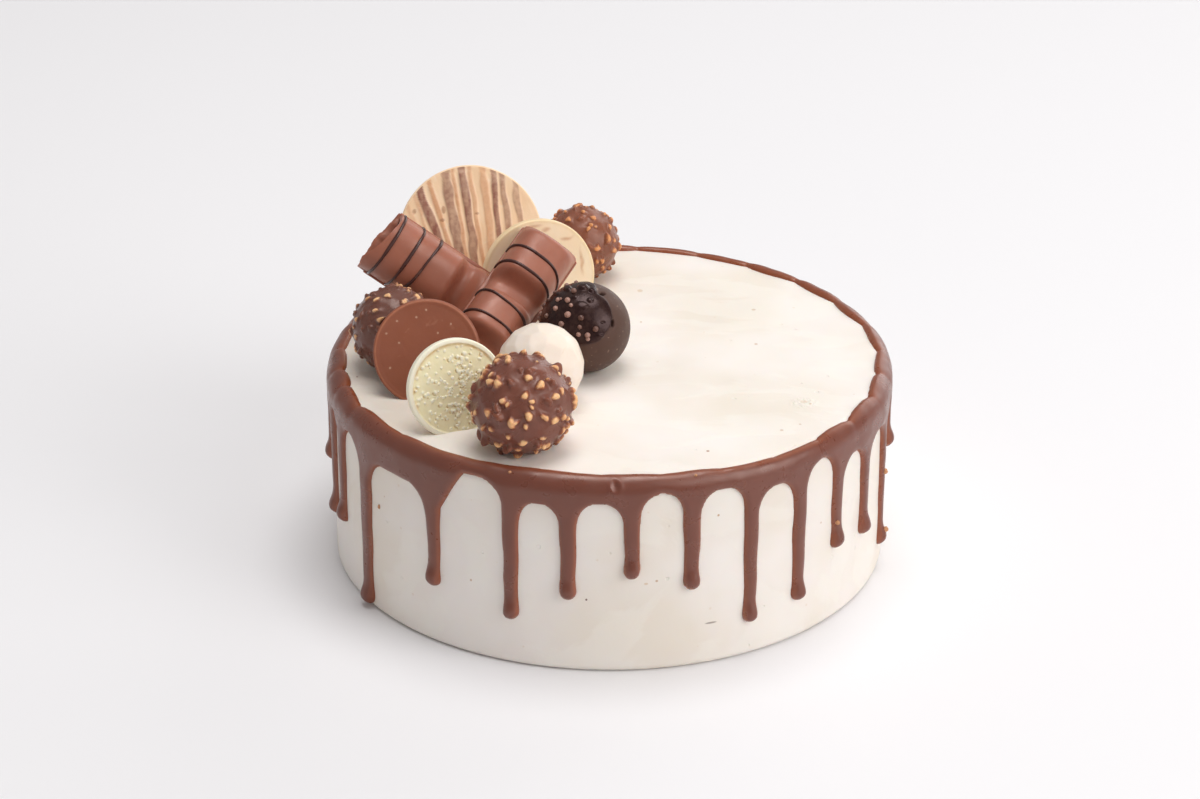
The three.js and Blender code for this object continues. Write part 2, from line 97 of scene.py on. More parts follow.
def lattice(cell: Array, seed: int) -> Array:
    """Gives each whole-number cell its own random value.

    Args:
        cell: n x 3 whole numbers.
        seed: picks one of many such draws.

    Returns:
        n values from -1 to 1.
    """
    mixed = np.full(len(cell), seed * SEED_PRIME)
    for axis, prime in enumerate(CELL_PRIMES):
        mixed ^= cell[:, axis] * prime
    mixed &= WORD
    for shift, prime in MIXES:
        mixed = ((mixed ^ (mixed >> shift)) * prime) & WORD
    mixed ^= mixed >> 15
    return mixed / 2.0**31 - 1.0


def noise(points: Array, size: float, seed: int = 0) -> Array:
    """Smooth random values over space.

    Args:
        points: n x 3 places in millimetres.
        size: how far apart the values change, in millimetres.
        seed: picks one of many such fields.

    Returns:
        n values from about -1 to 1.
    """
    place = points / size + 31.7 * (seed + 1)
    cell = np.floor(place).astype(np.int64)
    blend = place - cell
    blend = blend * blend * (3.0 - 2.0 * blend)
    total = np.zeros(len(points))
    for corner in product((0, 1), repeat=3):
        weight = np.ones(len(points))
        for axis in range(3):
            weight *= blend[:, axis] if corner[axis] else 1.0 - blend[:, axis]
        total += weight * lattice(cell + np.array(corner), seed)
    return total


def layered_noise(points: Array, size: float, seed: int = 0, layers: int = 3) -> Array:
    """Adds finer and fainter layers of noise to each other.

    Args:
        points: n x 3 places in millimetres.
        size: the coarsest layer's size in millimetres.
        seed: picks one of many such fields.
        layers: how many layers there are.

    Returns:
        n values from about -1 to 1.
    """
    total = np.zeros(len(points))
    for layer in range(layers):
        total += noise(points, size / 2.1**layer, seed + 7 * layer) * 0.55**layer
    return total / sum(0.55**layer for layer in range(layers))


def half_turn(degrees: Array | float) -> Array:
    """Returns an angle in degrees, brought to -180..180."""
    return (degrees + 180.0) % 360.0 - 180.0


def on_line(values: Array) -> Array:
    """Returns points on the x axis, one for each value."""
    return values[:, None] * [1.0, 0.0, 0.0]


def from_axis(points: Array) -> Array:
    """Returns how far each point lies from the z axis."""
    return np.hypot(points[:, 0], points[:, 1])


def spread_directions(count: int, seed: int, jitter: float) -> Array:
    """Spreads directions evenly over a sphere and moves each a little.

    Args:
        count: how many directions.
        seed: settles the moves.
        jitter: how far each is moved, as a share of the distance between them.

    Returns:
        count x 3 unit vectors.
    """
    random = np.random.default_rng(seed)
    step = np.arange(count) + 0.5
    z = 1.0 - 2.0 * step / count
    turn = math.pi * (3.0 - math.sqrt(5.0)) * step
    across = np.sqrt(1.0 - z * z)
    spread = np.stack([across * np.cos(turn), across * np.sin(turn), z], axis=1)
    spread += random.normal(size=(count, 3)) * jitter * math.sqrt(4.0 / count)
    return spread / np.linalg.norm(spread, axis=1, keepdims=True)


# ---- viewpoint


@dataclass(frozen=True)
class Sight:
    """The photograph's viewpoint, for the camera and for what is placed one by one."""

    eye: Point = (-3.069, -977.827, 523.765)
    pitch: float = 25.87
    roll: float = 0.141
    lens: float = 100.0
    sensor: float = 36.0
    picture: tuple[int, int] = (1200, 799)

    def axes(self) -> tuple[Array, Array, Array]:
        """Returns the directions to the right, up and straight ahead."""
        down, roll = math.radians(self.pitch), math.radians(self.roll)
        ahead = np.array([0.0, math.cos(down), -math.sin(down)])
        level = np.array([1.0, 0.0, 0.0])
        upward = np.cross(level, ahead)
        right = level * math.cos(roll) + upward * math.sin(roll)
        return right, upward * math.cos(roll) - level * math.sin(roll), ahead

    def ray(self, pixel: tuple[float, float]) -> Array:
        """Returns the direction in which a pixel of the photograph lies."""
        right, upward, ahead = self.axes()
        scale = self.sensor / self.lens / self.picture[0]
        across = (pixel[0] - self.picture[0] / 2) * scale
        high = (self.picture[1] / 2 - pixel[1]) * scale
        ray = ahead + right * across + upward * high
        return ray / np.linalg.norm(ray)

    def facing(self, x: float, y: float, radius: float) -> Array:
        """Returns the direction of a spot on a ball from its middle.

        Args:
            x: how far right of the middle the spot shows.
            y: how far above the middle it shows.
            radius: the ball's radius.

        Returns:
            A unit vector.
        """
        right, upward, ahead = self.axes()
        depth = math.sqrt(max(radius**2 - x**2 - y**2, 0.0))
        spot = right * x + upward * y - ahead * depth
        return spot / np.linalg.norm(spot)


SIGHT = Sight()


# ---- meshes


@dataclass
class Sheet:
    """A mesh in the making: its points in millimetres, its faces and its named masks."""

    points: Array
    faces: list[tuple[int, ...]]
    masks: dict[str, Array] = field(default_factory=dict)

    def joined(self, other: "Sheet") -> "Sheet":
        """Puts another sheet into the same mesh.

        Args:
            other: the sheet to add; masks that one of the two lacks are 0 there.

        Returns:
            A sheet with the points and faces of both.
        """
        start = len(self.points)
        masks = {}
        for name in sorted(set(self.masks) | set(other.masks)):
            mine = self.masks.get(name, np.zeros(start))
            theirs = other.masks.get(name, np.zeros(len(other.points)))
            masks[name] = np.concatenate([mine, theirs])
        faces = self.faces + [tuple(i + start for i in face) for face in other.faces]
        return Sheet(np.concatenate([self.points, other.points]), faces, masks)


def loop_faces(rows: int, around: int) -> list[tuple[int, ...]]:
    """Faces between neighbouring closed loops of points.

    Args:
        rows: how many loops there are.
        around: how many points each has.

    Returns:
        Four-sided faces.
    """
    faces = []
    for row in range(rows - 1):
        low = row * around
        high = low + around
        for k in range(around):
            after = (k + 1) % around
            faces.append((low + k, low + after, high + after, high + k))
    return faces


def closed_loft(rows: Sequence[Array]) -> Sheet:
    """Joins closed loops into one body, with a fan over each end.

    Args:
        rows: loops with equally many points each.

    Returns:
        The body. Its two middle points come last.
    """
    around = len(rows[0])
    points = np.concatenate([*rows, rows[0].mean(axis=0)[None], rows[-1].mean(axis=0)[None]])
    faces = loop_faces(len(rows), around)
    first = len(rows) * around
    last_row = (len(rows) - 1) * around
    for k in range(around):
        after = (k + 1) % around
        faces.append((first, after, k))
        faces.append((first + 1, last_row + k, last_row + after))
    return Sheet(points, faces)


def ball_sheet(level: int) -> Sheet:
    """A ball of radius 1 from evenly spread triangles.

    Args:
        level: 1 for 20 triangles, and four times as many for each step more.

    Returns:
        The ball, round the origin.
    """
    work = bmesh.new()
    bmesh.ops.create_icosphere(work, subdivisions=level, radius=1.0)
    points = np.array([tuple(vertex.co) for vertex in work.verts])
    faces = [tuple(vertex.index for vertex in face.verts) for face in work.faces]
    work.free()
    return Sheet(points / np.linalg.norm(points, axis=1, keepdims=True), faces)


def make_piece(
    name: str,
    sheet: Sheet,
    material: bpy.types.Material,
    stands_for: Sequence[str] = (),
    crease: float | None = None,
) -> bpy.types.Object:
    """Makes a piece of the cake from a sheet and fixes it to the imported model.

    Args:
        name: the piece's name.
        sheet: its points, faces and masks.
        material: its finish.
        stands_for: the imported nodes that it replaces.
        crease: faces that meet at more than this angle, in degrees, meet in a sharp edge.

    Returns:
        The new object.
    """
    mesh = bpy.data.meshes.new(name)
    mesh.from_pydata((sheet.points * MM).tolist(), [], sheet.faces)
    work = bmesh.new()
    work.from_mesh(mesh)
    bmesh.ops.recalc_face_normals(work, faces=work.faces)
    work.to_mesh(mesh)
    work.free()
    mesh.polygons.foreach_set("use_smooth", np.ones(len(mesh.polygons), dtype=bool))
    if crease is not None:
        mesh.set_sharp_from_angle(angle=math.radians(crease))
    for mask, values in sheet.masks.items():
        attribute = mesh.attributes.new(mask, "FLOAT", "POINT")
        attribute.data.foreach_set("value", values.astype(np.float32))
    mesh.materials.append(material)
    piece = bpy.data.objects.new(name, mesh)
    bpy.context.scene.collection.objects.link(piece)
    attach(piece, "root")
    if stands_for:
        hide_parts(*stands_for)
    triangles = sum(len(face) - 2 for face in sheet.faces)
    LOG.info("%s: %d triangles", name, triangles)
    return piece


# ---- node trees


class Nodes:
    """Places nodes in one tree and joins them."""

    def __init__(self, tree: bpy.types.NodeTree) -> None:
        """Starts on a tree, a material's or a group's."""
        self.tree = tree

    def add(self, kind: str, **settings: object) -> bpy.types.Node:
        """Adds one node.

        Args:
            kind: the node's type.
            settings: its properties.

        Returns:
            The node.
        """
        node = self.tree.nodes.new(kind)
        for name, value in settings.items():
            setattr(node, name, value)
        return node

    def feed(self, socket: Socket, value: object) -> None:
        """Sets a socket to a value, or links it where the value is another node's socket."""
        if isinstance(value, Socket):
            self.tree.links.new(value, socket)
        else:
            socket.default_value = value

    def wire(self, node: bpy.types.Node, **values: object) -> bpy.types.Node:
        """Feeds a node's inputs.

        Args:
            node: the node.
            values: what goes into each input, by the input's name with _ for a blank.

        Returns:
            The same node.
        """
        for name, value in values.items():
            self.feed(node.inputs[name.replace("_", " ")], value)
        return node

    def sum(self, kind: str, first: object, second: object) -> Socket:
        """Works out one value from two, each a number or a socket."""
        return self.joint("ShaderNodeMath", kind, first, second)

    def vector(self, kind: str, first: object, second: object) -> Socket:
        """Works out one vector from two, as sum does one value."""
        return self.joint("ShaderNodeVectorMath", kind, first, second)

    def joint(self, node_kind: str, kind: str, first: object, second: object) -> Socket:
        """Adds a node of sums with two inputs.

        Args:
            node_kind: the node's type.
            kind: the sum.
            first: its first input.
            second: its second input.

        Returns:
            The result's socket.
        """
        node = self.add(node_kind, operation=kind)
        self.feed(node.inputs[0], first)
        self.feed(node.inputs[1], second)
        return node.outputs[0]

    def span(self, value: object, low: object, high: object, to: tuple[float, float] = (0, 1)) -> Socket:
        """Maps low..high smoothly onto a new span.

        Args:
            value: the socket to map.
            low: where the span starts.
            high: where it ends.
            to: the new span.

        Returns:
            The result's socket.
        """
        node = self.add("ShaderNodeMapRange", interpolation_type="SMOOTHSTEP")
        self.wire(node, Value=value, From_Min=low, From_Max=high, To_Min=to[0], To_Max=to[1])
        return node.outputs["Result"]

    def blend(self, share: object, under: object, over: object) -> Socket:
        """Lays one colour over another.

        Args:
            share: how much of the upper colour shows.
            under: the lower colour or its socket.
            over: the upper colour or its socket.

        Returns:
            The colour's socket.
        """
        node = self.add("ShaderNodeMix", data_type="RGBA")
        self.feed(node.inputs[0], share)
        self.feed(node.inputs[6], opaque(under))
        self.feed(node.inputs[7], opaque(over))
        return node.outputs[2]

    def tint(self, under: object, over: object, mask: object, share: object) -> Socket:
        """Lays a share of a colour over another where a mask says so."""
        return self.blend(self.sum("MULTIPLY", mask, share), under, over)

    def mask(self, name: str) -> Socket:
        """Returns the socket of a mask that the mesh carries."""
        return self.add("ShaderNodeAttribute", attribute_name=name).outputs["Fac"]

    def use(self, effect: "Effect", **values: object) -> Socket:
        """Places a shared effect, sets its inputs by name and returns its result's socket."""
        group = self.add("ShaderNodeGroup", node_tree=EFFECTS.get(effect))
        return self.wire(group, **values).outputs[0]


def opaque(colour: object) -> object:
    """Returns a colour of three numbers with full opacity, and a socket as it is."""
    return (*colour, 1.0) if isinstance(colour, tuple) and len(colour) == 3 else colour


def srgb(red: int, green: int, blue: int) -> Colour:
    """Turns a colour as seen on a screen, 0 to 255, into the linear one that a shader takes."""
    parts = [value / 255.0 for value in (red, green, blue)]
    return tuple(p / 12.92 if p <= 0.04045 else ((p + 0.055) / 1.055) ** 2.4 for p in parts)


class Effect(Enum):
    """The effects that several finishes share."""

    MOTTLE = "soft mottle"
    SPECKS = "sparse specks"
    SCUFFS = "faint scuffs"
    GRAIN = "fine grain"
    MARK = "single mark"


class Effects:
    """Builds each shared effect once, as a group that puts out a value."""

    def __init__(self) -> None:
        """Starts with no group built."""
        self.built: dict[Effect, bpy.types.NodeTree] = {}

    def get(self, effect: Effect) -> bpy.types.NodeTree:
        """Returns the effect's group; the method of its name builds it the first time."""
        if effect not in self.built:
            self.built[effect] = getattr(self, effect.name.lower())(effect.value)
        return self.built[effect]

    @staticmethod
    def start(name: str, output: str, **usual: float | Point) -> tuple[Nodes, Sockets, Sockets]:
        """Starts a group with named sockets.

        Args:
            name: the group's name.
            output: the name of its output.
            usual: the usual value of each input, a number or a vector, by the input's name.

        Returns:
            The tree's nodes, the sockets that give its inputs and the ones that take its output.
        """
        tree = bpy.data.node_groups.new(name, "ShaderNodeTree")
        for label, value in usual.items():
            kind = "NodeSocketVector" if isinstance(value, tuple) else "NodeSocketFloat"
            socket = tree.interface.new_socket(name=label, in_out="INPUT", socket_type=kind)
            socket.default_value = value
        tree.interface.new_socket(name=output, in_out="OUTPUT", socket_type="NodeSocketFloat")
        nodes = Nodes(tree)
        return nodes, nodes.add("NodeGroupInput").outputs, nodes.add("NodeGroupOutput").inputs

    @staticmethod
    def place(nodes: Nodes, seed: object, stretch: object = (1.0, 1.0, 1.0)) -> Socket:
        """Returns the socket of the place on the cake, stretched along each axis and moved by seed."""
        place = nodes.add("ShaderNodeTexCoord").outputs["Object"]
        return nodes.vector("ADD", nodes.vector("MULTIPLY", place, stretch), seed)

    def mottle(self, name: str) -> bpy.types.NodeTree:
        """Builds the soft mottle: Scale is in blobs a metre."""
        nodes, given, out = self.start(name, "Value", Scale=60.0, Seed=0.0, Detail=3.0)
        cloud = nodes.add("ShaderNodeTexNoise")
        place = self.place(nodes, given["Seed"])
        nodes.wire(cloud, Vector=place, Scale=given["Scale"], Detail=given["Detail"])
        nodes.feed(out[0], nodes.span(cloud.outputs["Fac"], 0.32, 0.68))
        return nodes.tree

    def grain(self, name: str) -> bpy.types.NodeTree:
        """Builds the fine grain, a height for a bump, from three sizes of noise."""
        nodes, given, out = self.start(name, "Height", Scale=900.0, Seed=0.0)
        total: object = 0.0
        for size, weight in ((1.0, 0.5), (3.1, 0.3), (0.23, 0.9)):
            cloud = nodes.add("ShaderNodeTexNoise")
            scale = nodes.sum("MULTIPLY", given["Scale"], size)
            nodes.wire(cloud, Vector=self.place(nodes, given["Seed"]), Scale=scale, Detail=2.0)
            total = nodes.sum("ADD", nodes.sum("MULTIPLY", cloud.outputs["Fac"], weight), total)
        nodes.feed(out[0], total)
        return nodes.tree

    def specks(self, name: str) -> bpy.types.NodeTree:
        """Builds sparse round specks: Share of the cells has one, Size is its share of a cell."""
        nodes, given, out = self.start(name, "Mask", Scale=400.0, Seed=0.0, Share=0.1, Size=0.2)
        cells = nodes.add("ShaderNodeTexVoronoi")
        nodes.wire(cells, Vector=self.place(nodes, given["Seed"]), Scale=given["Scale"])
        split = nodes.add("ShaderNodeSeparateColor")
        nodes.feed(split.inputs[0], cells.outputs["Color"])
        chosen = nodes.sum("LESS_THAN", split.outputs[0], given["Share"])
        size = nodes.sum("MULTIPLY", given["Size"], nodes.sum("ADD", split.outputs[1], 0.4))
        inner = nodes.sum("MULTIPLY", size, 0.55)
        dot = nodes.span(cells.outputs["Distance"], inner, size, (1.0, 0.0))
        nodes.feed(out[0], nodes.sum("MULTIPLY", dot, chosen))
        return nodes.tree

    def scuffs(self, name: str) -> bpy.types.NodeTree:
        """Builds faint scuffs, drawn out along one axis by Stretch."""
        usual = {"Scale": 120.0, "Seed": 0.0, "Stretch": (1.0, 1.0, 1.0), "Share": 0.3}
        nodes, given, out = self.start(name, "Mask", **usual)
        cloud = nodes.add("ShaderNodeTexNoise")
        place = self.place(nodes, given["Seed"], given["Stretch"])
        nodes.wire(cloud, Vector=place, Scale=given["Scale"], Detail=5.0, Distortion=0.6)
        level = nodes.sum("SUBTRACT", 0.72, nodes.sum("MULTIPLY", given["Share"], 0.3))
        nodes.feed(out[0], nodes.span(cloud.outputs["Fac"], level, nodes.sum("ADD", level, 0.07)))
        return nodes.tree

    def mark(self, name: str) -> bpy.types.NodeTree:
        """Builds one mark: Place is its middle and Size its half sizes, in metres."""
        nodes, given, out = self.start(name, "Mask", Place=(0.0, 0.0, 0.0), Size=(MM, MM, MM))
        coordinate = nodes.add("ShaderNodeTexCoord").outputs["Object"]
        away = nodes.vector("SUBTRACT", coordinate, given["Place"])
        length = nodes.add("ShaderNodeVectorMath", operation="LENGTH")
        nodes.feed(length.inputs[0], nodes.vector("DIVIDE", away, given["Size"]))
        nodes.feed(out[0], nodes.span(length.outputs["Value"], 0.55, 1.0, (1.0, 0.0)))
        return nodes.tree


EFFECTS = Effects()


@dataclass(frozen=True)
class Finish:
    """What every finish sets on its shader: plain numbers that hold all over the piece."""

    name: str
    colour: Colour
    roughness: float
    under_skin: float = 0.0
    under_skin_depth: Point = (0.0020, 0.0011, 0.0006)
    specular: float = 0.5
    gleam: Colour = (1.0, 1.0, 1.0)

    def start(self) -> tuple[bpy.types.Material, Nodes, bpy.types.Node]:
        """Starts the material.

        Returns:
            The material, its nodes and its main shader.
        """
        material = bpy.data.materials.new(self.name)
        material.use_nodes = True
        material.node_tree.nodes.clear()
        nodes = Nodes(material.node_tree)
        shader = nodes.add("ShaderNodeBsdfPrincipled")
        nodes.wire(nodes.add("ShaderNodeOutputMaterial"), Surface=shader.outputs["BSDF"])
        nodes.wire(
            shader, Base_Color=opaque(self.colour), Roughness=self.roughness,
            Subsurface_Weight=self.under_skin, Subsurface_Radius=self.under_skin_depth, Subsurface_Scale=1.0,
            Specular_IOR_Level=self.specular, Specular_Tint=opaque(self.gleam),
        )
        return material, nodes, shader

    @staticmethod
    def raise_surface(nodes: Nodes, shader: bpy.types.Node, height: object, depth: float) -> None:
        """Lets a height show as fine relief, where depth is how many metres a height of 1 is."""
        bump = nodes.wire(nodes.add("ShaderNodeBump"), Distance=depth, Strength=1.0, Height=height)
        nodes.wire(shader, Normal=bump.outputs["Normal"])


@dataclass(frozen=True)
class Mark:
    """A mark in the icing: where the photograph shows it, its half sizes and its tint."""

    pixel: tuple[float, float]
    size: Point
    tint: Colour
    share: float


RED_BROWN = srgb(112, 62, 46)
TAN = srgb(196, 152, 112)
PALE_TAN = srgb(222, 198, 170)
GREY_BROWN = srgb(128, 106, 92)
WARM_GLEAM = (1.0, 0.86, 0.8)
CHOCOLATE_DEPTH = (0.0012, 0.00045, 0.0002)
WHITE_DEPTH = (0.0018, 0.0012, 0.0007)


@dataclass(frozen=True)
class IcingFinish(Finish):
    """White chocolate icing: satin, with fine specks, pinholes and a few marks."""

    shade: Colour = (0.8, 0.7, 0.55)
    light: Colour = (0.95, 0.9, 0.82)
    marks: tuple[Mark, ...] = (
        Mark((711.0, 622.7), (3.0, 1.2, 0.4), GREY_BROWN, 0.7),
        Mark((586.3, 599.7), (0.42, 0.42, 0.45), RED_BROWN, 0.9),
        Mark((656.7, 580.9), (0.55, 0.55, 0.5), TAN, 0.75),
        Mark((646.0, 583.8), (0.8, 0.6, 0.5), PALE_TAN, 0.8),
        Mark((471.0, 580.0), (0.45, 0.45, 0.5), TAN, 0.7),
        Mark((718.5, 515.2), (0.5, 0.5, 0.5), TAN, 0.85),
        Mark((821.0, 522.6), (0.45, 0.45, 0.45), TAN, 0.5),
        Mark((707.9, 451.0), (0.65, 0.6, 0.6), srgb(168, 112, 70), 0.9),
        Mark((640.0, 291.0), (1.2, 1.4, 0.6), PALE_TAN, 0.7),
        Mark((641.0, 322.0), (0.5, 0.6, 0.6), TAN, 0.55),
        Mark((753.6, 309.7), (0.9, 0.9, 0.6), TAN, 0.45),
        Mark((756.0, 344.0), (0.7, 0.9, 0.6), TAN, 0.5),
        Mark((357.1, 376.5), (0.5, 0.6, 0.6), RED_BROWN, 0.6),
        Mark((804.0, 402.0), (1.6, 1.3, 1.0), PALE_TAN, 0.5),
        Mark((810.5, 404.0), (0.5, 0.5, 0.5), TAN, 0.6),
    )
    rough_patch: Mark = Mark((803.0, 403.0), (5.5, 5.0, 3.0), PALE_TAN, 1.0)

    def spot(self, nodes: Nodes, mark: Mark) -> Socket:
        """Returns the socket of one mark's mask."""
        place = tuple(float(value) * MM for value in CAKE.seen_at(mark.pixel))
        return nodes.use(Effect.MARK, Place=place, Size=tuple(value * MM for value in mark.size))

    def build(self) -> bpy.types.Material:
        """Returns the icing's material."""
        material, nodes, shader = self.start()
        warm = nodes.use(Effect.MOTTLE, Scale=22.0, Seed=3.0)
        colour = nodes.tint(self.colour, self.shade, warm, 0.5)
        smear = nodes.use(Effect.SCUFFS, Scale=26.0, Seed=5.0, Stretch=(1.0, 2.6, 1.4), Share=0.75)
        colour = nodes.tint(colour, self.light, smear, 0.35)
        fine = nodes.use(Effect.SPECKS, Scale=170.0, Seed=1.0, Share=0.05, Size=0.1)
        colour = nodes.tint(colour, TAN, fine, 0.5)
        pale = nodes.use(Effect.SPECKS, Scale=260.0, Seed=9.0, Share=0.12, Size=0.12)
        colour = nodes.tint(colour, PALE_TAN, pale, 0.3)
        for mark in self.marks:
            colour = nodes.tint(colour, mark.tint, self.spot(nodes, mark), mark.share)
        patch = nodes.use(Effect.MOTTLE, Scale=38.0, Seed=12.0)
        nodes.wire(shader, Base_Color=colour, Roughness=nodes.span(patch, 0.0, 1.0, (0.42, 0.56)))
        grain = nodes.use(Effect.GRAIN, Scale=420.0, Seed=2.0)
        holes = nodes.use(Effect.SPECKS, Scale=230.0, Seed=21.0, Share=0.1, Size=0.16)
        height = nodes.sum("SUBTRACT", nodes.sum("MULTIPLY", grain, 0.22), holes)
        height = nodes.sum("ADD", height, nodes.sum("MULTIPLY", smear, 0.35))
        lumps = nodes.use(Effect.MOTTLE, Scale=700.0, Seed=6.0)
        rough = nodes.sum("MULTIPLY", nodes.sum("MULTIPLY", lumps, self.spot(nodes, self.rough_patch)), 1.1)
        self.raise_surface(nodes, shader, nodes.sum("ADD", height, rough), 0.00016)
        return material


@dataclass(frozen=True)
class ChocolateFinish(Finish):
    """Set chocolate: satin, faintly mottled, with small pale scuffs."""

    second: Colour = (0.2, 0.1, 0.07)
    mottle: float = 0.5
    scuff: Colour = (0.4, 0.25, 0.18)
    scuff_share: float = 0.25
    scuff_strength: float = 0.35
    stretch: Point = (1.0, 1.0, 1.0)
    grain_depth: float = 0.00006
    seed: float = 0.0

    def surface(self, nodes: Nodes) -> Socket:
        """Lays the mottle and the scuffs over the plain colour.

        Args:
            nodes: the material's nodes.

        Returns:
            The colour's socket.
        """
        cloud = nodes.use(Effect.MOTTLE, Scale=120.0, Seed=self.seed)
        colour = nodes.tint(self.colour, self.second, cloud, self.mottle)
        look = {"Stretch": self.stretch, "Share": self.scuff_share}
        worn = nodes.use(Effect.SCUFFS, Scale=260.0, Seed=self.seed + 4.0, **look)
        return nodes.tint(colour, self.scuff, worn, self.scuff_strength)

    def uneven_roughness(self, nodes: Nodes) -> Socket:
        """Returns the socket of a roughness that varies a little round the plain one."""
        patch = nodes.use(Effect.MOTTLE, Scale=210.0, Seed=self.seed + 8.0)
        return nodes.span(patch, 0.0, 1.0, (self.roughness - 0.05, self.roughness + 0.07))

    def build(self) -> bpy.types.Material:
        """Returns the chocolate's material."""
        material, nodes, shader = self.start()
        nodes.wire(shader, Base_Color=self.surface(nodes), Roughness=self.uneven_roughness(nodes))
        grain = nodes.use(Effect.GRAIN, Scale=700.0, Seed=self.seed)
        self.raise_surface(nodes, shader, grain, self.grain_depth)
        return material


@dataclass(frozen=True)
class MaskedChocolate(ChocolateFinish):
    """Chocolate with other colours where the mesh's masks say so."""

    layers: tuple[tuple[str, Colour, float], ...] = ()
    masked_roughness: tuple[tuple[str, float], ...] = ()

    def surface(self, nodes: Nodes) -> Socket:
        """Lays each mask's colour over the plain one.

        Args:
            nodes: the material's nodes.

        Returns:
            The colour's socket.
        """
        colour = super().surface(nodes)
        for mask, tint, share in self.layers:
            cloud = nodes.use(Effect.MOTTLE, Scale=600.0, Seed=self.seed + 2.0)
            dim = nodes.span(cloud, 0.0, 1.0, (0.8, 1.0))
            colour = nodes.tint(colour, tint, nodes.mask(mask), nodes.sum("MULTIPLY", dim, share))
        return colour

    def uneven_roughness(self, nodes: Nodes) -> Socket:
        """Gives the roughness another level where a mask says so.

        Args:
            nodes: the material's nodes.

        Returns:
            The roughness's socket.
        """
        rough = super().uneven_roughness(nodes)
        for mask, level in self.masked_roughness:
            step = nodes.sum("MULTIPLY", nodes.sum("SUBTRACT", level, rough), nodes.mask(mask))
            rough = nodes.sum("ADD", rough, step)
        return rough


# ---- the cake's own surface


@dataclass(frozen=True)
class CakeShape:
    """The cake's profile: a flat top, a rounded rim, a straight side and a small foot."""

    radius: float = 90.0
    top: float = 65.4
    rim: float = 4.5
    foot: float = 1.0
    close_enough: float = 0.01
    most_steps: int = 300

    @property
    def rim_arc(self) -> float:
        """Returns the length of the rim's quarter round."""
        return self.rim * math.pi / 2

    def distance_at(self, height: float) -> float:
        """Returns the distance from where the rim starts to round, at a height on the side."""
        shoulder = self.top - self.rim
        if height <= shoulder:
            return self.rim_arc + shoulder - height
        return self.rim * math.acos((height - shoulder) / self.rim)

    def at(self, azimuth: Array, distance: Array, lift: Array | float = 0.0) -> Array:
        """Places points on the cake.

        Args:
            azimuth: the turn about the cake's axis, in radians.
            distance: how far outward and down from where the rim starts to round.
            lift: how far off the surface.

        Returns:
            n x 3 points.
        """
        azimuth, distance, lift = np.broadcast_arrays(azimuth, distance, lift)
        turn = np.clip(distance, 0.0, self.rim_arc) / self.rim
        inner = self.radius - self.rim
        radius = inner + np.minimum(distance, 0.0) + (self.rim + lift) * np.sin(turn)
        down = np.maximum(distance - self.rim_arc, 0.0)
        height = self.top - self.rim + (self.rim + lift) * np.cos(turn) - down
        return np.stack([radius * np.cos(azimuth), radius * np.sin(azimuth), height], axis=-1)

    def gap(self, place: Array) -> float:
        """Returns how far a place lies outside the cake's surface."""
        outward = math.hypot(place[0], place[1]) - self.radius + self.rim
        upward = place[2] - self.top + self.rim
        if outward <= 0 or upward <= 0:
            return max(outward, upward) - self.rim
        return math.hypot(outward, upward) - self.rim

    def seen_at(self, pixel: tuple[float, float], lift: float = 0.0) -> Array:
        """Finds the place on the top or the side that a pixel of the photograph shows.

        Args:
            pixel: across and down in the photograph.
            lift: how far outside the cake's surface the place lies.

        Returns:
            The place in millimetres.
        """
        place, ray = np.array(SIGHT.eye), SIGHT.ray(pixel)
        nearest, least = place, math.inf
        for _ in range(self.most_steps):
            away = self.gap(place) - lift
            if away < least:
                nearest, least = place, away
            if away < self.close_enough:
                break
            place = place + ray * away
        return nearest


CAKE = CakeShape()


@dataclass
class IcedCake:
    """The cake under its icing, one body with a slightly uneven skin."""

    around: int = 480
    top_rings: int = 52
    rim_rings: int = 9
    side_rings: int = 62
    wave: float = 0.22
    finish: Finish = IcingFinish("white icing", srgb(247, 239, 232), 0.48, under_skin=0.12)

    def sheet(self) -> Sheet:
        """Returns the cake's mesh."""
        inner = CAKE.radius - CAKE.rim
        wall = CAKE.top - CAKE.rim - CAKE.foot
        shares = np.linspace(1.0, 0.0, self.top_rings, endpoint=False)
        distances = [-inner * share * 0.985 for share in shares]
        distances += list(np.linspace(0.0, CAKE.rim_arc, self.rim_rings, endpoint=False))
        distances += list(CAKE.rim_arc + np.linspace(0.0, wall, self.side_rings))
        azimuth = np.linspace(-math.pi, math.pi, self.around, endpoint=False)
        rows = []
        for distance in distances:
            flat = CAKE.at(azimuth, distance)
            edge = smooth((CAKE.rim_arc + wall - distance) / 6.0)
            middle = smooth((inner + distance) / 12.0) if distance < 0 else 1.0
            soft = layered_noise(flat * [1.0, 1.0, 1.7], 26.0, 3, 2) + 0.35 * noise(flat, 7.0, 8)
            rows.append(CAKE.at(azimuth, distance, self.wave * soft * edge * middle))
        foot = CAKE.radius - CAKE.foot
        rows.append(np.stack([foot * np.cos(azimuth), foot * np.sin(azimuth), 0.0 * azimuth], axis=-1))
        return closed_loft(rows)

    def build(self) -> None:
        """Makes the iced cake."""
        make_piece("icing", self.sheet(), self.finish.build(), ["cake_body"])


# ---- the drip


@dataclass(frozen=True)
class Run:
    """One run of the drip: azimuth in degrees, the heights of its tip and of the arch after it."""

    azimuth: float
    tip: float
    arch: float
    width: float = 5.2
    flare: float = 1.0
    straight: float = 0.0


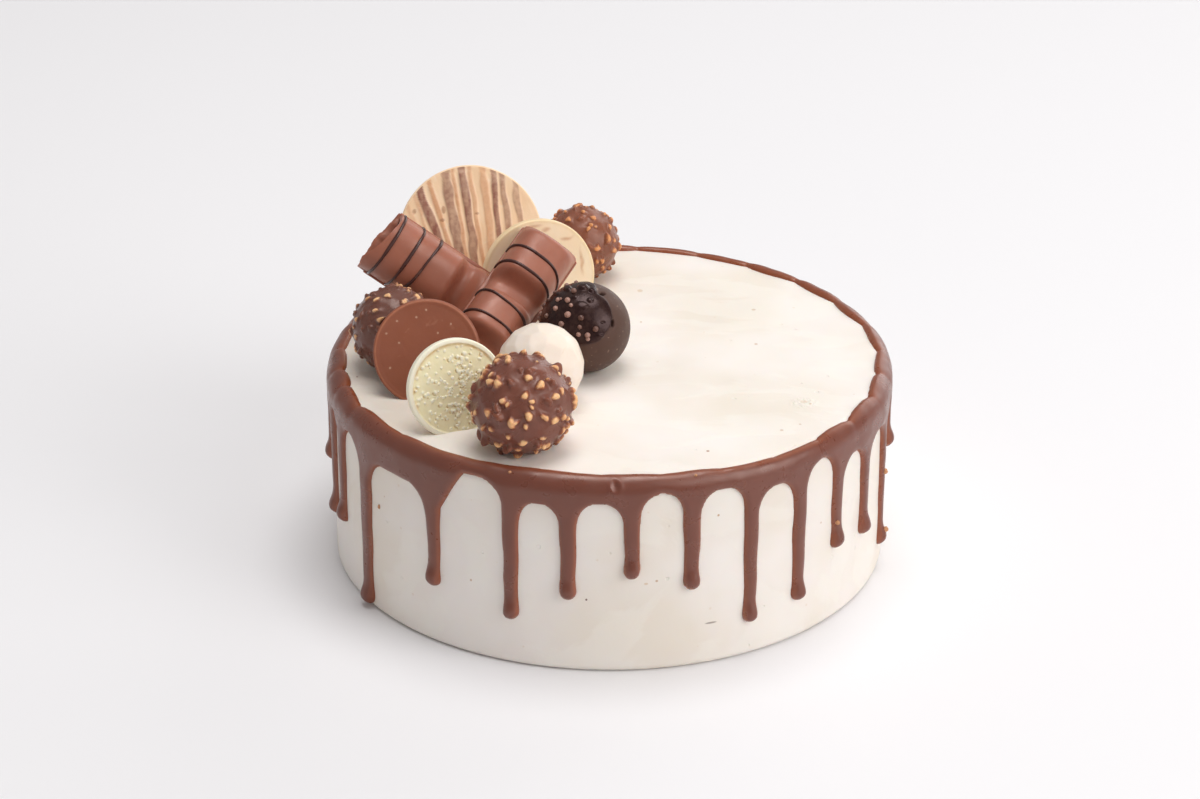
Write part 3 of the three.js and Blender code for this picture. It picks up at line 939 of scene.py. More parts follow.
FRONT_RUNS = (
    Run(-176.0, 31.0, 56.0),
    Run(-167.6, 18.0, 58.0, width=5.4),
    Run(-160.0, 21.0, 56.9, width=5.8),
    Run(-147.9, 0.6, 53.6, width=6.2, flare=1.3),
    Run(-127.0, 20.3, 62.5, width=5.6, flare=1.7, straight=0.9),
    Run(-109.6, 15.8, 57.4),
    Run(-98.1, 25.0, 58.5),
    Run(-85.7, 32.5, 61.2),
    Run(-73.9, 27.2, 60.4),
    Run(-61.3, 11.7, 57.2),
    Run(-49.5, 13.6, 60.0),
    Run(-38.2, 25.3, 55.4),
    Run(-26.9, 22.3, 54.9),
    Run(-14.2, 8.5, 57.0),
    Run(-4.0, 36.0, 57.5),
)


@dataclass
class ChocolateDrip:
    """The chocolate that lies over the rim and runs down the side."""

    cell: float = 0.6
    ring_thickness: float = 1.95
    run_thickness: float = 1.75
    bulb_thickness: float = 3.2
    bulb_length: float = 7.5
    bulb_widening: float = 0.75
    neck_height: float = 8.5
    neck_reach: float = 9.0
    neck_power: float = 2.3
    edge_round: float = 2.3
    inner_wave: float = 0.8
    narrow_middle: float = -46.0
    narrow_spread: float = 26.0
    narrowing: float = 1.7
    lobe_reach: float = 1.3
    lobe_power: float = 0.7
    lobe_crease: float = 0.28
    back_spacing: float = 13.4
    sunk: float = 0.25
    far_outside: float = -50.0
    well_inside: float = 60.0
    run_reach: float = 16.0
    grid_start: float = -4.0
    grid_foot: float = 0.4
    smallest_level: float = 1e-4
    bulb_middle: float = 0.4
    bulb_share: float = 0.38
    thickest: float = 0.42
    bulb_reach: float = 3.4
    ring_start: float = 50.0
    ring_fade: float = 8.0
    crease_start: float = 58.5
    crease_fade: float = 6.0
    crease_width: float = 0.62
    bubble_radius: float = 1.6
    bubble_depth: float = 0.8
    burst_bubble: tuple[float, float] = (615.4, 487.5)
    finish: Finish = MaskedChocolate(
        "drip chocolate", srgb(118, 64, 48), 0.32, under_skin=0.3, under_skin_depth=CHOCOLATE_DEPTH,
        specular=0.75, gleam=WARM_GLEAM, second=srgb(106, 56, 43), mottle=0.35, scuff=srgb(126, 84, 68),
        scuff_share=0.05, scuff_strength=0.08, grain_depth=0.00003, seed=33.0,
        layers=(("thin", srgb(158, 84, 48), 0.75),),
    )

    def runs(self) -> list[Run]:
        """Returns the runs that show in front, and drawn ones round the back."""
        draw = Draw(5)
        runs = [replace(front, width=front.width * (0.93 + 0.14 * draw.next())) for front in FRONT_RUNS]
        last = FRONT_RUNS[-1].azimuth
        end = FRONT_RUNS[0].azimuth + 360.0
        count = round((end - last) / self.back_spacing) - 1
        for i in range(1, count + 1):
            azimuth = last + (end - last) * i / (count + 1) + 2.4 * (draw.next() - 0.5)
            tip = 9.0 + 30.0 * draw.next()
            arch = 55.0 + 6.0 * draw.next()
            runs.append(Run(azimuth, tip, arch, 5.2 * (0.93 + 0.14 * draw.next())))
        return runs

    def lobes(self, azimuth: Array) -> tuple[Array, Array]:
        """Tells where each run's own pour bulges, and how strongly it does there.

        Args:
            azimuth: radians.

        Returns:
            1 in the middle of a pour and 0 where two meet, and the share of the bulge.
        """
        places = np.array([run.azimuth for run in self.runs()])
        degrees = (np.degrees(azimuth) - places[0]) % 360.0 + places[0]
        around = np.append(places, places[0] + 360.0)
        before = np.clip(np.searchsorted(around, degrees, side="right") - 1, 0, len(places) - 1)
        share = (degrees - around[before]) / (around[before + 1] - around[before])
        away = 2.0 * np.minimum(share, 1.0 - share)
        from_front = np.abs(half_turn(degrees + 90.0))
        lobe = np.clip(1.0 - away**2, 0.0, 1.0) ** self.lobe_power
        return lobe, 0.2 + 0.8 * smooth((from_front - 30.0) / 35.0)

    def inner_edge(self, azimuth: Array) -> Array:
        """Returns the distance at which the chocolate starts, on the top."""
        wave = np.sin(5 * azimuth + 1) + 0.7 * np.sin(11 * azimuth) + 0.5 * np.sin(23 * azimuth + 2)
        lobe, share = self.lobes(azimuth)
        away = half_turn(np.degrees(azimuth) - self.narrow_middle)
        narrower = self.narrowing * hill(away, self.narrow_spread)
        return self.inner_wave * 0.45 * wave + self.lobe_reach * share * (0.75 - lobe) + narrower

    def neck(self, tall: Array, arch: float, flare: float, straight: float) -> Array:
        """Says how far a run has widened into the ring above it.

        Args:
            tall: heights on the side.
            arch: the height of the bare arch beside the run.
            flare: how much taller than usual the widening is.
            straight: 0 for a round widening and 1 for one that is straight.

        Returns:
            0 below the widening and 1 at the arch.
        """
        high = self.neck_height * flare
        up = np.clip((tall - (arch - high)) / high, 0.0, 1.0)
        rounded = 1.0 - (1.0 - up**self.neck_power) ** (1.0 / self.neck_power)
        return rounded * (1.0 - straight) + up * straight

    def inside(self, azimuth: Array, distance: Array) -> Array:
        """Tells chocolate from bare icing.

        Args:
            azimuth: radians.
            distance: millimetres outward and down from where the rim starts to round.

        Returns:
            Roughly how far each place is inside the chocolate, below 0 outside it.
        """
        runs = self.runs()
        height = CAKE.at(azimuth, distance)[:, 2]
        best = np.full(azimuth.shape, self.far_outside)
        degrees = np.degrees(azimuth)
        for i, run in enumerate(runs):
            side = half_turn(degrees - run.azimuth)
            near = np.abs(side) < self.run_reach
            tall = height[near]
            lean = 0.12 * np.sin(tall * 0.37 + run.azimuth) * smooth((run.arch - tall) / 12.0)
            across = np.radians(side[near]) * CAKE.radius + lean
            bulb = hill((tall - run.tip) / self.bulb_length - self.bulb_middle, self.bulb_share)
            risen = np.clip((tall - run.tip) / (run.arch - run.tip), 0.0, 1.0)
            half = (run.width * (0.83 + 0.29 * risen) + self.bulb_widening * bulb) / 2
            below = run.tip + half - tall
            rounded = half - np.hypot(across, np.maximum(below, 0.0))
            before, after = runs[i - 1], runs[(i + 1) % len(runs)]
            for facing, other, arch in ((-1, before, before.arch), (1, after, run.arch)):
                gap = math.radians(abs(half_turn(other.azimuth - run.azimuth))) * CAKE.radius
                reach = min((gap - run.width) / 2 + 0.6, self.neck_reach)
                straight = run.straight if facing > 0 else 0.0
                edge = half + reach * self.neck(tall, arch, run.flare, straight)
                edge = np.where(tall > arch, self.well_inside, edge)
                depth = np.where(below > 0, rounded, edge - across * facing)
                beside = (across * facing >= 0) & (across * facing < gap)
                best[near] = np.maximum(best[near], np.where(beside, depth, self.far_outside))
        return np.minimum(best, distance - self.inner_edge(azimuth))

    def clipped(self) -> tuple[Array, list[tuple[int, int, int]], Array]:
        """Cuts a fine grid of the unrolled surface along the chocolate's edge.

        Returns:
            The kept places as azimuth and distance, the triangles, and which places lie on the edge.
        """
        columns = int(2 * math.pi * CAKE.radius / self.cell)
        low, high = self.grid_start, CAKE.distance_at(self.grid_foot)
        rows = int((high - low) / self.cell)
        azimuth = np.linspace(-math.pi, math.pi, columns, endpoint=False)
        turn, down = (grid.ravel() for grid in np.meshgrid(azimuth, np.linspace(low, high, rows)))
        level = self.inside(turn, down)
        level = np.where(np.abs(level) < self.smallest_level, self.smallest_level, level)
        places: list[tuple[float, float]] = []
        edge: list[bool] = []
        kept: dict[tuple[int, int], int] = {}
        triangles = []

        def corner(i: int) -> int:
            if (i, i) not in kept:
                kept[(i, i)] = len(places)
                places.append((turn[i], down[i]))
                edge.append(False)
            return kept[(i, i)]

        def crossing(i: int, j: int) -> int:
            key = (min(i, j), max(i, j))
            if key not in kept:
                share = level[i] / (level[i] - level[j])
                first, second = turn[i], turn[j]
                if second - first > math.pi:
                    second -= 2 * math.pi
                if first - second > math.pi:
                    second += 2 * math.pi
                kept[key] = len(places)
                places.append((first + share * (second - first), down[i] + share * (down[j] - down[i])))
                edge.append(True)
            return kept[key]

        inside = (level > 0).reshape(rows, columns)
        busy = inside[:-1] | inside[1:]
        busy = busy | np.roll(busy, -1, axis=1)
        for row, column in zip(*np.nonzero(busy)):
            after = (column + 1) % columns
            a, b = row * columns + column, row * columns + after
            c, d = b + columns, a + columns
            for triple in ((a, b, c), (a, c, d)):
                shown = [i for i in triple if level[i] > 0]
                if len(shown) == 3:
                    triangles.append(tuple(corner(i) for i in triple))
                elif shown:
                    ring = []
                    for k in range(3):
                        i, j = triple[k], triple[(k + 1) % 3]
                        if level[i] > 0:
                            ring.append(corner(i))
                        if (level[i] > 0) != (level[j] > 0):
                            ring.append(crossing(i, j))
                    triangles.append(tuple(ring[:3]))
                    if len(ring) == 4:
                        triangles.append((ring[0], ring[2], ring[3]))
        return np.array(places), triangles, np.array(edge)

    def thickness(self, places: Array, to_edge: Array) -> Array:
        """Says how thick the chocolate lies.

        Args:
            places: azimuth and distance of each point.
            to_edge: how far each is from the chocolate's edge.

        Returns:
            The thickness in millimetres.
        """
        azimuth, distance = places[:, 0], places[:, 1]
        height = CAKE.top - CAKE.rim - (distance - CAKE.rim_arc)
        full = np.full(len(places), self.run_thickness)
        on_ring = smooth((height - self.ring_start) / self.ring_fade)
        full = full + (self.ring_thickness - self.run_thickness) * on_ring
        degrees = np.degrees(azimuth)
        for run in self.runs():
            side = np.abs(half_turn(degrees - run.azimuth))
            from_tip = (height - run.tip) / self.bulb_length
            bulb = hill(from_tip - self.thickest, self.thickest) * (side < self.bulb_reach)
            full += (self.bulb_thickness - self.run_thickness) * bulb
        flat = CAKE.at(azimuth, distance)
        lobe, strength = self.lobes(azimuth)
        crease = hill(lobe, self.crease_width)
        full -= self.lobe_crease * crease * strength * smooth((height - self.crease_start) / self.crease_fade)
        full += 0.25 * noise(flat, 9.0, 4) * on_ring + 0.1 * noise(flat, 4.0, 6)
        away = np.linalg.norm(flat - CAKE.seen_at(self.burst_bubble), axis=1)
        full += 0.25 * hill(away - self.bubble_radius, 0.6) - self.bubble_depth * hill(away, 0.9)
        share = np.clip(to_edge / self.edge_round, 0.0, 1.0)
        return full * np.sqrt(np.clip(1.0 - (1.0 - share) ** 2, 0.0, 1.0)) ** 0.9

    def sheet(self) -> Sheet:
        """Returns the drip's mesh, its face and its back."""
        places, triangles, edge = self.clipped()
        flat = CAKE.at(places[:, 0], places[:, 1])
        tree = kdtree.KDTree(int(edge.sum()))
        for i, point in enumerate(flat[edge]):
            tree.insert(Vector(point), i)
        tree.balance()
        to_edge = np.array([tree.find(Vector(point))[2] for point in flat])
        to_edge[edge] = 0.0
        lift = self.thickness(places, to_edge) - self.sunk
        face = CAKE.at(places[:, 0], places[:, 1], lift)
        back = CAKE.at(places[:, 0], places[:, 1], -self.sunk - 0.3)
        count = len(face)
        faces = [tuple(triple) for triple in triangles]
        faces += [(a + count, c + count, b + count) for a, b, c in triangles]
        sides: dict[tuple[int, int], int] = {}
        for a, b, c in triangles:
            for i, j in ((a, b), (b, c), (c, a)):
                sides[(i, j)] = 1
        faces += [(j, i, i + count, j + count) for i, j in sides if (j, i) not in sides]
        thin = 1.0 - smooth(to_edge / np.where(places[:, 1] < CAKE.rim_arc / 2, 3.4, 1.3))
        return Sheet(np.concatenate([face, back]), faces, {"thin": np.concatenate([thin, thin])})

    def build(self) -> None:
        """Makes the drip."""
        make_piece("drip", self.sheet(), self.finish.build(), ["ganache_drip"])


# ---- balls


@dataclass(frozen=True)
class Bit:
    """One chopped bit of nut on a ball: where it sits, its flat sides and how bare it is."""

    direction: Array
    sides: Array
    slope: Array
    height: float
    bare: float
    roast: float


@dataclass
class Ball:
    """A chocolate ball, round its own middle."""

    name: str
    centre: Point
    radius: float
    finish: Finish
    level: int = 7

    def placed(self, unit: Array, rise: Array) -> Array:
        """Returns the points that stand out by rise, in the cake's frame."""
        return unit * (self.radius + rise)[:, None] + np.array(self.centre)


@dataclass
class NutBall(Ball):
    """A milk chocolate ball with chopped nuts under and through its coat."""

    bits: int = 124
    bit_size: float = 1.3
    bit_height: float = 2.0
    bit_reach: float = 5.0
    fillet_reach: float = 1.5
    bare_share: float = 0.75
    beside_share: float = 0.35
    seed: int = 1

    def bit(self, direction: Array, random: np.random.Generator) -> Bit:
        """Draws one bit of nut.

        Args:
            direction: where it sits.
            random: the ball's own random draw.

        Returns:
            The bit.
        """
        helper = np.array([0.0, 0.0, 1.0]) if abs(direction[2]) < 0.9 else np.array([1.0, 0.0, 0.0])
        first = np.cross(helper, direction)
        first /= np.linalg.norm(first)
        second = np.cross(direction, first)
        count = int(random.integers(5, 8))
        size = self.bit_size * random.uniform(0.65, 1.4)
        longer = random.uniform(1.0, 1.6)
        turn = random.uniform(0.0, math.pi)
        angle = (np.arange(count) + random.uniform(-0.25, 0.25, count)) * 2 * math.pi / count
        reach = size * random.uniform(0.75, 1.2, count)
        reach *= np.where(np.abs(np.cos(angle)) > 0.6, longer, 0.85)
        angle += turn
        sides = first[None] * np.cos(angle)[:, None] + second[None] * np.sin(angle)[:, None]
        sides /= reach[:, None]
        slope = (first * random.uniform(-1, 1) + second * random.uniform(-1, 1)) * 0.22
        bare = random.uniform(0.58, 0.92) if random.random() < self.bare_share else 2.0
        height = self.bit_height * random.uniform(0.5, 1.1) * (size / self.bit_size) ** 0.4
        return Bit(direction, sides, slope, height, bare, random.uniform(0.0, 1.0))

    def all_bits(self) -> list[Bit]:
        """Returns the ball's bits, uneven in size and place, some with another beside them."""
        random = np.random.default_rng(self.seed)
        found = []
        for direction in spread_directions(self.bits, self.seed, 0.45):
            found.append(self.bit(direction, random))
            if random.random() < self.beside_share:
                beside = direction + random.normal(size=3) * 1.5 / self.radius
                found.append(self.bit(beside / np.linalg.norm(beside), random))
        return found

    def sheet(self) -> Sheet:
        """Returns the ball's mesh, with masks for thin coat, bare nut and darker nut."""
        sheet = ball_sheet(self.level)
        unit = sheet.points
        spot = unit * self.radius
        rise, fillet, bare, roast, thin = (np.zeros(len(unit)) for _ in range(5))
        rough = layered_noise(spot, 0.9, self.seed, 2)
        for bit in self.all_bits():
            near = np.nonzero(unit @ bit.direction > math.cos(self.bit_reach / self.radius))[0]
            beside = spot[near] - bit.direction * self.radius
            reach = np.sum(np.clip(beside @ bit.sides.T, 0.0, None) ** 6, axis=1) ** (1 / 6)
            reach = reach + 0.1 * rough[near]
            top = bit.height * (1.0 + np.clip(beside @ bit.slope, -0.4, 0.4))
            lift = top * np.clip(1.0 - np.clip(reach, 0.0, 1.0) ** 2.2, 0.0, 1.0) ** 0.75
            share = lift / bit.height - bit.bare + 0.35 * rough[near]
            shown = smooth(share / 0.3 + 0.4)
            round_it = 0.2 + 0.8 * smooth((share + 0.42) / 0.35)
            roast[near] = np.where(lift > rise[near], bit.roast, roast[near])
            bare[near] = np.where(lift > rise[near], shown, bare[near])
            thin[near] = np.where(lift > rise[near], round_it, thin[near])
            rise[near] = np.maximum(rise[near], lift)
            fillet[near] = np.maximum(fillet[near], 0.4 * bit.height * hill(reach, self.fillet_reach))
        coat = fillet + 0.4 * layered_noise(spot, 5.0, self.seed + 5, 2) + 0.03 * rough
        soft = 0.14
        outer = coat + soft * np.log1p(np.exp(np.clip((rise - coat) / soft, -30.0, 30.0)))
        thin *= smooth((rise - coat) / 0.7)
        masks = {"thin": thin, "nut": bare * smooth((rise - coat) / 0.2), "roast": bare * roast}
        return Sheet(self.placed(unit, outer - soft), sheet.faces, masks)

    def build(self) -> None:
        """Makes the ball."""
        make_piece(self.name + "_coat", self.sheet(), self.finish.build(), [self.name])


@dataclass(frozen=True)
class Spot:
    """A spot on a ball as it shows from the front: right, up, its half sizes and its height."""

    x: float
    y: float
    wide: float
    tall: float
    rise: float = 0.0


@dataclass
class DarkBall(Ball):
    """A dark ball: a glossy cap with small pearls on one side, plain and matt on the other."""

    caps: tuple[tuple[Point, float], ...] = (((-0.04, 0.27, 0.96), 0.77), ((-0.72, 0.5, 0.48), 0.45))
    chips: tuple[Spot, ...] = (
        Spot(-0.6, 12.4, 2.2, 1.2, 0.9), Spot(2.2, 11.4, 1.3, 0.9, 0.8), Spot(-5.4, 12.0, 1.7, 1.3, 0.8),
        Spot(-8.6, 10.4, 1.2, 0.9, 0.6), Spot(-3.3, 9.4, 1.4, 1.0, 0.3), Spot(-1.0, 6.6, 2.6, 1.6, 0.3),
        Spot(1.6, 8.2, 1.1, 0.8, 0.5), Spot(5.5, 10.5, 1.3, 0.7, -1.5), Spot(8.8, 1.0, 0.6, 1.7, -1.5),
        Spot(5.6, 1.3, 0.9, 0.5, -0.3), Spot(4.9, -3.0, 1.4, 0.8, 0.35),
    )
    pearls: tuple[Spot, ...] = (
        Spot(-3.5, 11.1, 0.95, 0.95, 0.3), Spot(-8.4, 8.4, 0.75, 0.75, 1.0), Spot(-7.5, 8.7, 0.45, 0.45, 0.8),
        Spot(-5.4, 8.2, 0.95, 0.95, 0.9), Spot(-4.3, 6.6, 0.68, 0.68, 0.8), Spot(-9.1, 5.7, 0.88, 0.88, 0.9),
        Spot(-11.9, 3.5, 0.8, 0.8, 0.3), Spot(-5.3, 3.7, 1.05, 1.05, 0.9), Spot(-1.2, 2.6, 1.0, 1.0, 0.0),
        Spot(-7.3, 0.8, 0.9, 0.9, 0.5), Spot(-1.6, -0.2, 0.75, 0.75, 0.2), Spot(-2.0, -2.5, 0.75, 0.75, 0.8),
        Spot(0.8, -2.7, 0.9, 0.9, 0.7), Spot(0.9, -3.9, 0.68, 0.68, 0.8), Spot(3.3, -0.8, 0.95, 0.95, 0.1),
        Spot(-11.3, 8.6, 0.6, 0.6, 0.2),
    )
    far_pearls: int = 14
    seed: int = 71
    pearl_finish: Finish = field(kw_only=True)

    def cap_share(self, unit: Array) -> Array:
        """Returns 1 on the glossy cap and 0 off it, with an uneven edge."""
        right, upward, ahead = SIGHT.axes()
        wave = 0.035 * layered_noise(unit * self.radius, 5.0, self.seed, 2)
        share = np.full(len(unit), -1.0)
        for (x, y, toward), reach in self.caps:
            axis = right * x + upward * y - ahead * toward
            share = np.maximum(share, unit @ axis - reach)
        return smooth((share + wave) / 0.05 + 0.5)

    def spot_share(self, unit: Array, spot: Spot) -> Array:
        """Returns 1 in the middle of a spot and 0 outside it."""
        right, upward, ahead = SIGHT.axes()
        away_x = (unit @ right * self.radius - spot.x) / spot.wide
        away_y = (unit @ upward * self.radius - spot.y) / spot.tall
        return smooth(1.6 * (1.0 - np.hypot(away_x, away_y))) * (unit @ ahead < 0)

    def sheet(self) -> Sheet:
        """Returns the ball's mesh with its cap mask, which also paints shade into the deepest pits."""
        sheet = ball_sheet(self.level)
        unit = sheet.points
        spot = unit * self.radius
        cap = self.cap_share(unit)
        rise = 0.12 * layered_noise(spot, 8.0, 9, 2) + cap * (0.2 + 0.09 * layered_noise(spot, 3.4, 5, 2))
        pit = np.zeros(len(unit))
        for chip in self.chips:
            share = self.spot_share(unit, chip)
            rise += chip.rise * share
            # pits deeper than 1 mm take the cap's near-black colour: painted shade in the holes
            if chip.rise < -1.0:
                pit = np.maximum(pit, share)
        speck = smooth((noise(spot, 0.9, 77) - 0.72) / 0.1) * (1.0 - cap)
        return Sheet(self.placed(unit, rise), sheet.faces, {"cap": np.maximum(cap, pit), "speck": speck})

    def pearl_sheet(self) -> Sheet:
        """Returns the pearls, joined into one mesh; some are more coated than others."""
        random = np.random.default_rng(self.seed)
        small = ball_sheet(4)
        places = [(SIGHT.facing(p.x, p.y, self.radius), p.wide, p.rise) for p in self.pearls]
        ahead = SIGHT.axes()[2]
        far = [d for d in spread_directions(260, self.seed, 0.6) if d @ ahead > 0.05]
        far = [d for d in far if self.cap_share(d[None])[0] > 0.9][: self.far_pearls]
        places += [(d, random.uniform(0.55, 1.0), random.uniform(0.0, 1.0)) for d in far]
        pearls = []
        for direction, size, pale in places:
            uneven = 1.0 + 0.07 * noise(small.points + direction * 9.0, 0.8, 2)
            middle = np.array(self.centre) + direction * (self.radius + 0.3)
            points = small.points * (size * uneven)[:, None] + middle
            pearls.append(Sheet(points, small.faces, {"pale": np.full(len(points), pale)}))
        return reduce(Sheet.joined, pearls)

    def build(self) -> None:
        """Makes the ball and its pearls."""
        make_piece("dark_ball_coat", self.sheet(), self.finish.build(), ["dark_ball"])
        make_piece("pearls", self.pearl_sheet(), self.pearl_finish.build())


@dataclass
class WhiteBall(Ball):
    """A white chocolate ball with soft, shallow facets."""

    facets: int = 112
    softness: float = 0.07
    seed: int = 3

    def sheet(self) -> Sheet:
        """Returns the ball's mesh."""
        sheet = ball_sheet(self.level)
        unit = sheet.points
        random = np.random.default_rng(self.seed)
        total = np.full(len(unit), math.exp(-0.004 * self.radius / self.softness))
        for direction in spread_directions(self.facets, self.seed, 0.35):
            depth = self.radius * random.uniform(0.968, 0.99)
            plane = depth / np.clip(unit @ direction, 0.3, 1.0)
            total += np.exp(-(plane - self.radius) / self.softness)
        rise = 0.07 * layered_noise(unit * self.radius, 5.0, 2, 2) - self.softness * np.log(total)
        return Sheet(self.placed(unit, rise), sheet.faces)

    def build(self) -> None:
        """Makes the ball."""
        make_piece("white_ball_coat", self.sheet(), self.finish.build(), ["white_ball"])


# ---- discs


@dataclass
class Disc:
    """A chocolate disc that stands in the icing and leans back."""

    name: str
    centre: Point
    radius: float
    thickness: float
    yaw: float
    lean: float
    slot: str
    finish: Finish
    edge: float = 0.55
    rings: int = 64
    around: int = 288
    seed: int = 0

    def place(self, local: Array) -> Array:
        """Moves points from the disc's own frame to the cake's.

        Args:
            local: n x 3 points, x across the face, y up it and z out of it.

        Returns:
            n x 3 points.
        """
        turn, tilt = math.radians(self.yaw), math.radians(self.lean)
        across = np.array([math.cos(turn), math.sin(turn), 0.0])
        facing = np.array([math.sin(turn), -math.cos(turn), 0.0])
        face = facing * math.cos(tilt) + np.array([0.0, 0.0, math.sin(tilt)])
        upward = np.cross(face, across)
        return np.array(self.centre) + local @ np.stack([across, upward, face])

    def relief(self, flat: Array) -> Array:
        """Returns how far the face stands out at each local place."""
        return 0.05 * layered_noise(flat, 7.0, self.seed, 2)

    def masks(self, flat: Array, front: Array) -> dict[str, Array]:
        """Returns the masks of the disc's colours by their names; front is 1 on the face, else 0."""
        return {}

    def sheet(self) -> Sheet:
        """Returns the disc's mesh."""
        angle = np.linspace(0, 2 * math.pi, self.around, endpoint=False)
        circle = np.stack([np.cos(angle), np.sin(angle), 0.0 * angle], axis=1)
        uneven = 1.0 + 0.004 * layered_noise(circle * self.radius, 9.0, self.seed + 3, 2)
        flat_radius = self.radius - self.edge
        back = -self.thickness
        rows = [circle * flat_radius * i / self.rings * uneven[:, None] for i in range(1, self.rings + 1)]
        for i in range(1, 7):
            turn = math.pi / 2 * i / 6
            row = circle * (flat_radius + self.edge * math.sin(turn)) * uneven[:, None]
            rows.append(row + [0.0, 0.0, self.edge * (math.cos(turn) - 1.0)])
        for i in range(5):
            turn = math.pi / 2 * i / 4
            row = circle * (flat_radius + self.edge * math.cos(turn)) * uneven[:, None]
            rows.append(row + [0.0, 0.0, back + self.edge * (1.0 - math.sin(turn))])
        rows += [circle * flat_radius * share + [0.0, 0.0, back] for share in (0.8, 0.5, 0.2)]
        sheet = closed_loft(rows)
        local = sheet.points
        front = np.zeros(len(local))
        front[: self.rings * self.around] = 1.0
        front[-2] = 1.0
        ring_share = from_axis(local) / flat_radius
        fade = front * smooth((1.0 - ring_share) / 0.02)
        raised = local + np.stack([0 * front, 0 * front, self.relief(local) * fade], axis=1)
        return Sheet(self.place(raised), sheet.faces, self.masks(local, front))

    def build(self) -> None:
        """Makes the disc."""
        name = self.name + "_chocolate"
        make_piece(name, self.sheet(), self.finish.build(), [self.name], crease=50.0)


class Band(Enum):
    """The two kinds of stripe on the striped disc."""

    MAUVE = "mauve"
    TAN = "tan"


@dataclass(frozen=True)
class Stripe:
    """One stripe on the disc: where it crosses, its slope, width, strength and kind."""

    across: float
    slope: float
    width: float
    strength: float
    band: Band
    rise: float = 0.35


@dataclass
class StripedDisc(Disc):
    """The blond disc with raised, uneven stripes of milk chocolate."""

    level: float = 8.0
    stripes: tuple[Stripe, ...] = (
        Stripe(-19.6, -0.3, 1.6, 0.5, Band.TAN, 0.1),
        Stripe(-16.4, -0.3, 1.2, 0.6, Band.TAN, 0.15),
        Stripe(-13.4, -0.33, 3.0, 1.0, Band.MAUVE),
        Stripe(-10.0, -0.27, 1.7, 0.85, Band.TAN, 0.2),
        Stripe(-5.7, -0.12, 3.0, 0.85, Band.MAUVE),
        Stripe(-3.3, -0.1, 1.2, 0.9, Band.TAN, 0.2),
        Stripe(-0.6, -0.1, 2.7, 1.0, Band.MAUVE, 0.5),
        Stripe(2.1, -0.1, 1.6, 0.85, Band.TAN, 0.2),
        Stripe(6.0, -0.08, 2.4, 0.7, Band.TAN, 0.25),
        Stripe(9.3, -0.07, 1.9, 1.0, Band.MAUVE, 0.4),
        Stripe(12.4, -0.07, 2.0, 0.8, Band.MAUVE, 0.25),
        Stripe(16.6, -0.1, 2.2, 0.7, Band.MAUVE, 0.2),
    )

    def stripe_share(self, flat: Array, stripe: Stripe, soft: float) -> Array:
        """Returns 1 on a stripe and 0 off it.

        Args:
            flat: n x 3 local places.
            stripe: the stripe.
            soft: how gently its edge fades, in millimetres.

        Returns:
            The share for each place.
        """
        wander = 0.45 * noise(flat * [0.2, 1.0, 1.0], 6.0, int(stripe.across * 3) + 70)
        middle = stripe.across + stripe.slope * (flat[:, 1] - self.level) + wander
        away = np.abs(flat[:, 0] - middle)
        uneven = 0.3 * noise(flat * [0.3, 1.0, 1.0], 4.0, int(stripe.across * 5) + 170)
        reach = stripe.width / 2 * (1.0 + uneven)
        return smooth((reach - away) / soft + 0.5)

    def relief(self, flat: Array) -> Array:
        """Returns the stripes' relief over a slightly uneven face."""
        rise = 0.1 * layered_noise(flat * [1.0, 0.3, 1.0], 2.6, 5, 2)
        for stripe in self.stripes:
            rise += stripe.rise * self.stripe_share(flat, stripe, 0.9)
        ends = smooth((self.radius - 1.2 - from_axis(flat)) / 1.5)
        return rise * ends

    def masks(self, flat: Array, front: Array) -> dict[str, Array]:
        """Returns the stripes' masks and the left edge of each mauve stripe."""
        found = {band.value: np.zeros(len(flat)) for band in Band}
        dark = np.zeros(len(flat))
        streak = 0.9 + 0.2 * noise(flat * [1.0, 0.15, 1.0], 0.9, 40)
        broken = 0.92 + 0.2 * layered_noise(flat * [1.0, 0.4, 1.0], 3.0, 44, 2)
        for stripe in self.stripes:
            share = self.stripe_share(flat, stripe, 0.6) * stripe.strength * streak * broken
            share = np.clip(share, 0.0, 1.0)
            found[stripe.band.value] = np.maximum(found[stripe.band.value], share)
            if stripe.band is Band.MAUVE:
                shifted = flat + [0.45, 0.0, 0.0]
                off = 1.0 - self.stripe_share(shifted, stripe, 0.35)
                line = self.stripe_share(flat, stripe, 0.35) * off
                left = flat[:, 0] < stripe.across + stripe.slope * (flat[:, 1] - self.level)
                dark = np.maximum(dark, line * left * stripe.strength)
        found["dark_line"] = dark
        dots = [(-8.7, 9.6, 0.7, 1.3), (-9.3, 6.2, 0.8, 0.6), (2.5, 7.8, 0.7, 0.4), (-18.6, 9.5, 0.7, 0.8)]
        spots = np.zeros(len(flat))
        for x, y, wide, tall in dots:
            away = np.hypot((flat[:, 0] - x) / wide, (flat[:, 1] - y) / tall)
            spots = np.maximum(spots, smooth((1.25 - away) / 0.5))
        found["spot"] = spots
        return {name: values * front for name, values in found.items()}


@dataclass
class MarbledDisc(Disc):
    """The smooth ivory disc with tan smudges near its edge."""

    smudges: tuple[tuple[float, float, float, float], ...] = (
        (-0.6, 17.2, 2.6, 0.6), (3.6, 15.8, 1.5, 0.7), (15.2, 3.5, 0.7, 4.5), (10.5, 12.0, 2.2, 0.7),
    )

    def masks(self, flat: Array, front: Array) -> dict[str, Array]:
        """Returns the mask of the smudges."""
        total = np.zeros(len(flat))
        warp = 0.7 * noise(flat, 2.0, 61)
        for x, y, wide, tall in self.smudges:
            away = np.hypot((flat[:, 0] - x + warp) / wide, (flat[:, 1] - y + warp) / tall)
            total = np.maximum(total, smooth((1.4 - away) / 1.1))
        rim = smooth((from_axis(flat) - self.radius + 1.6) / 1.2)
        return {"smudge": total * front, "rim": rim}


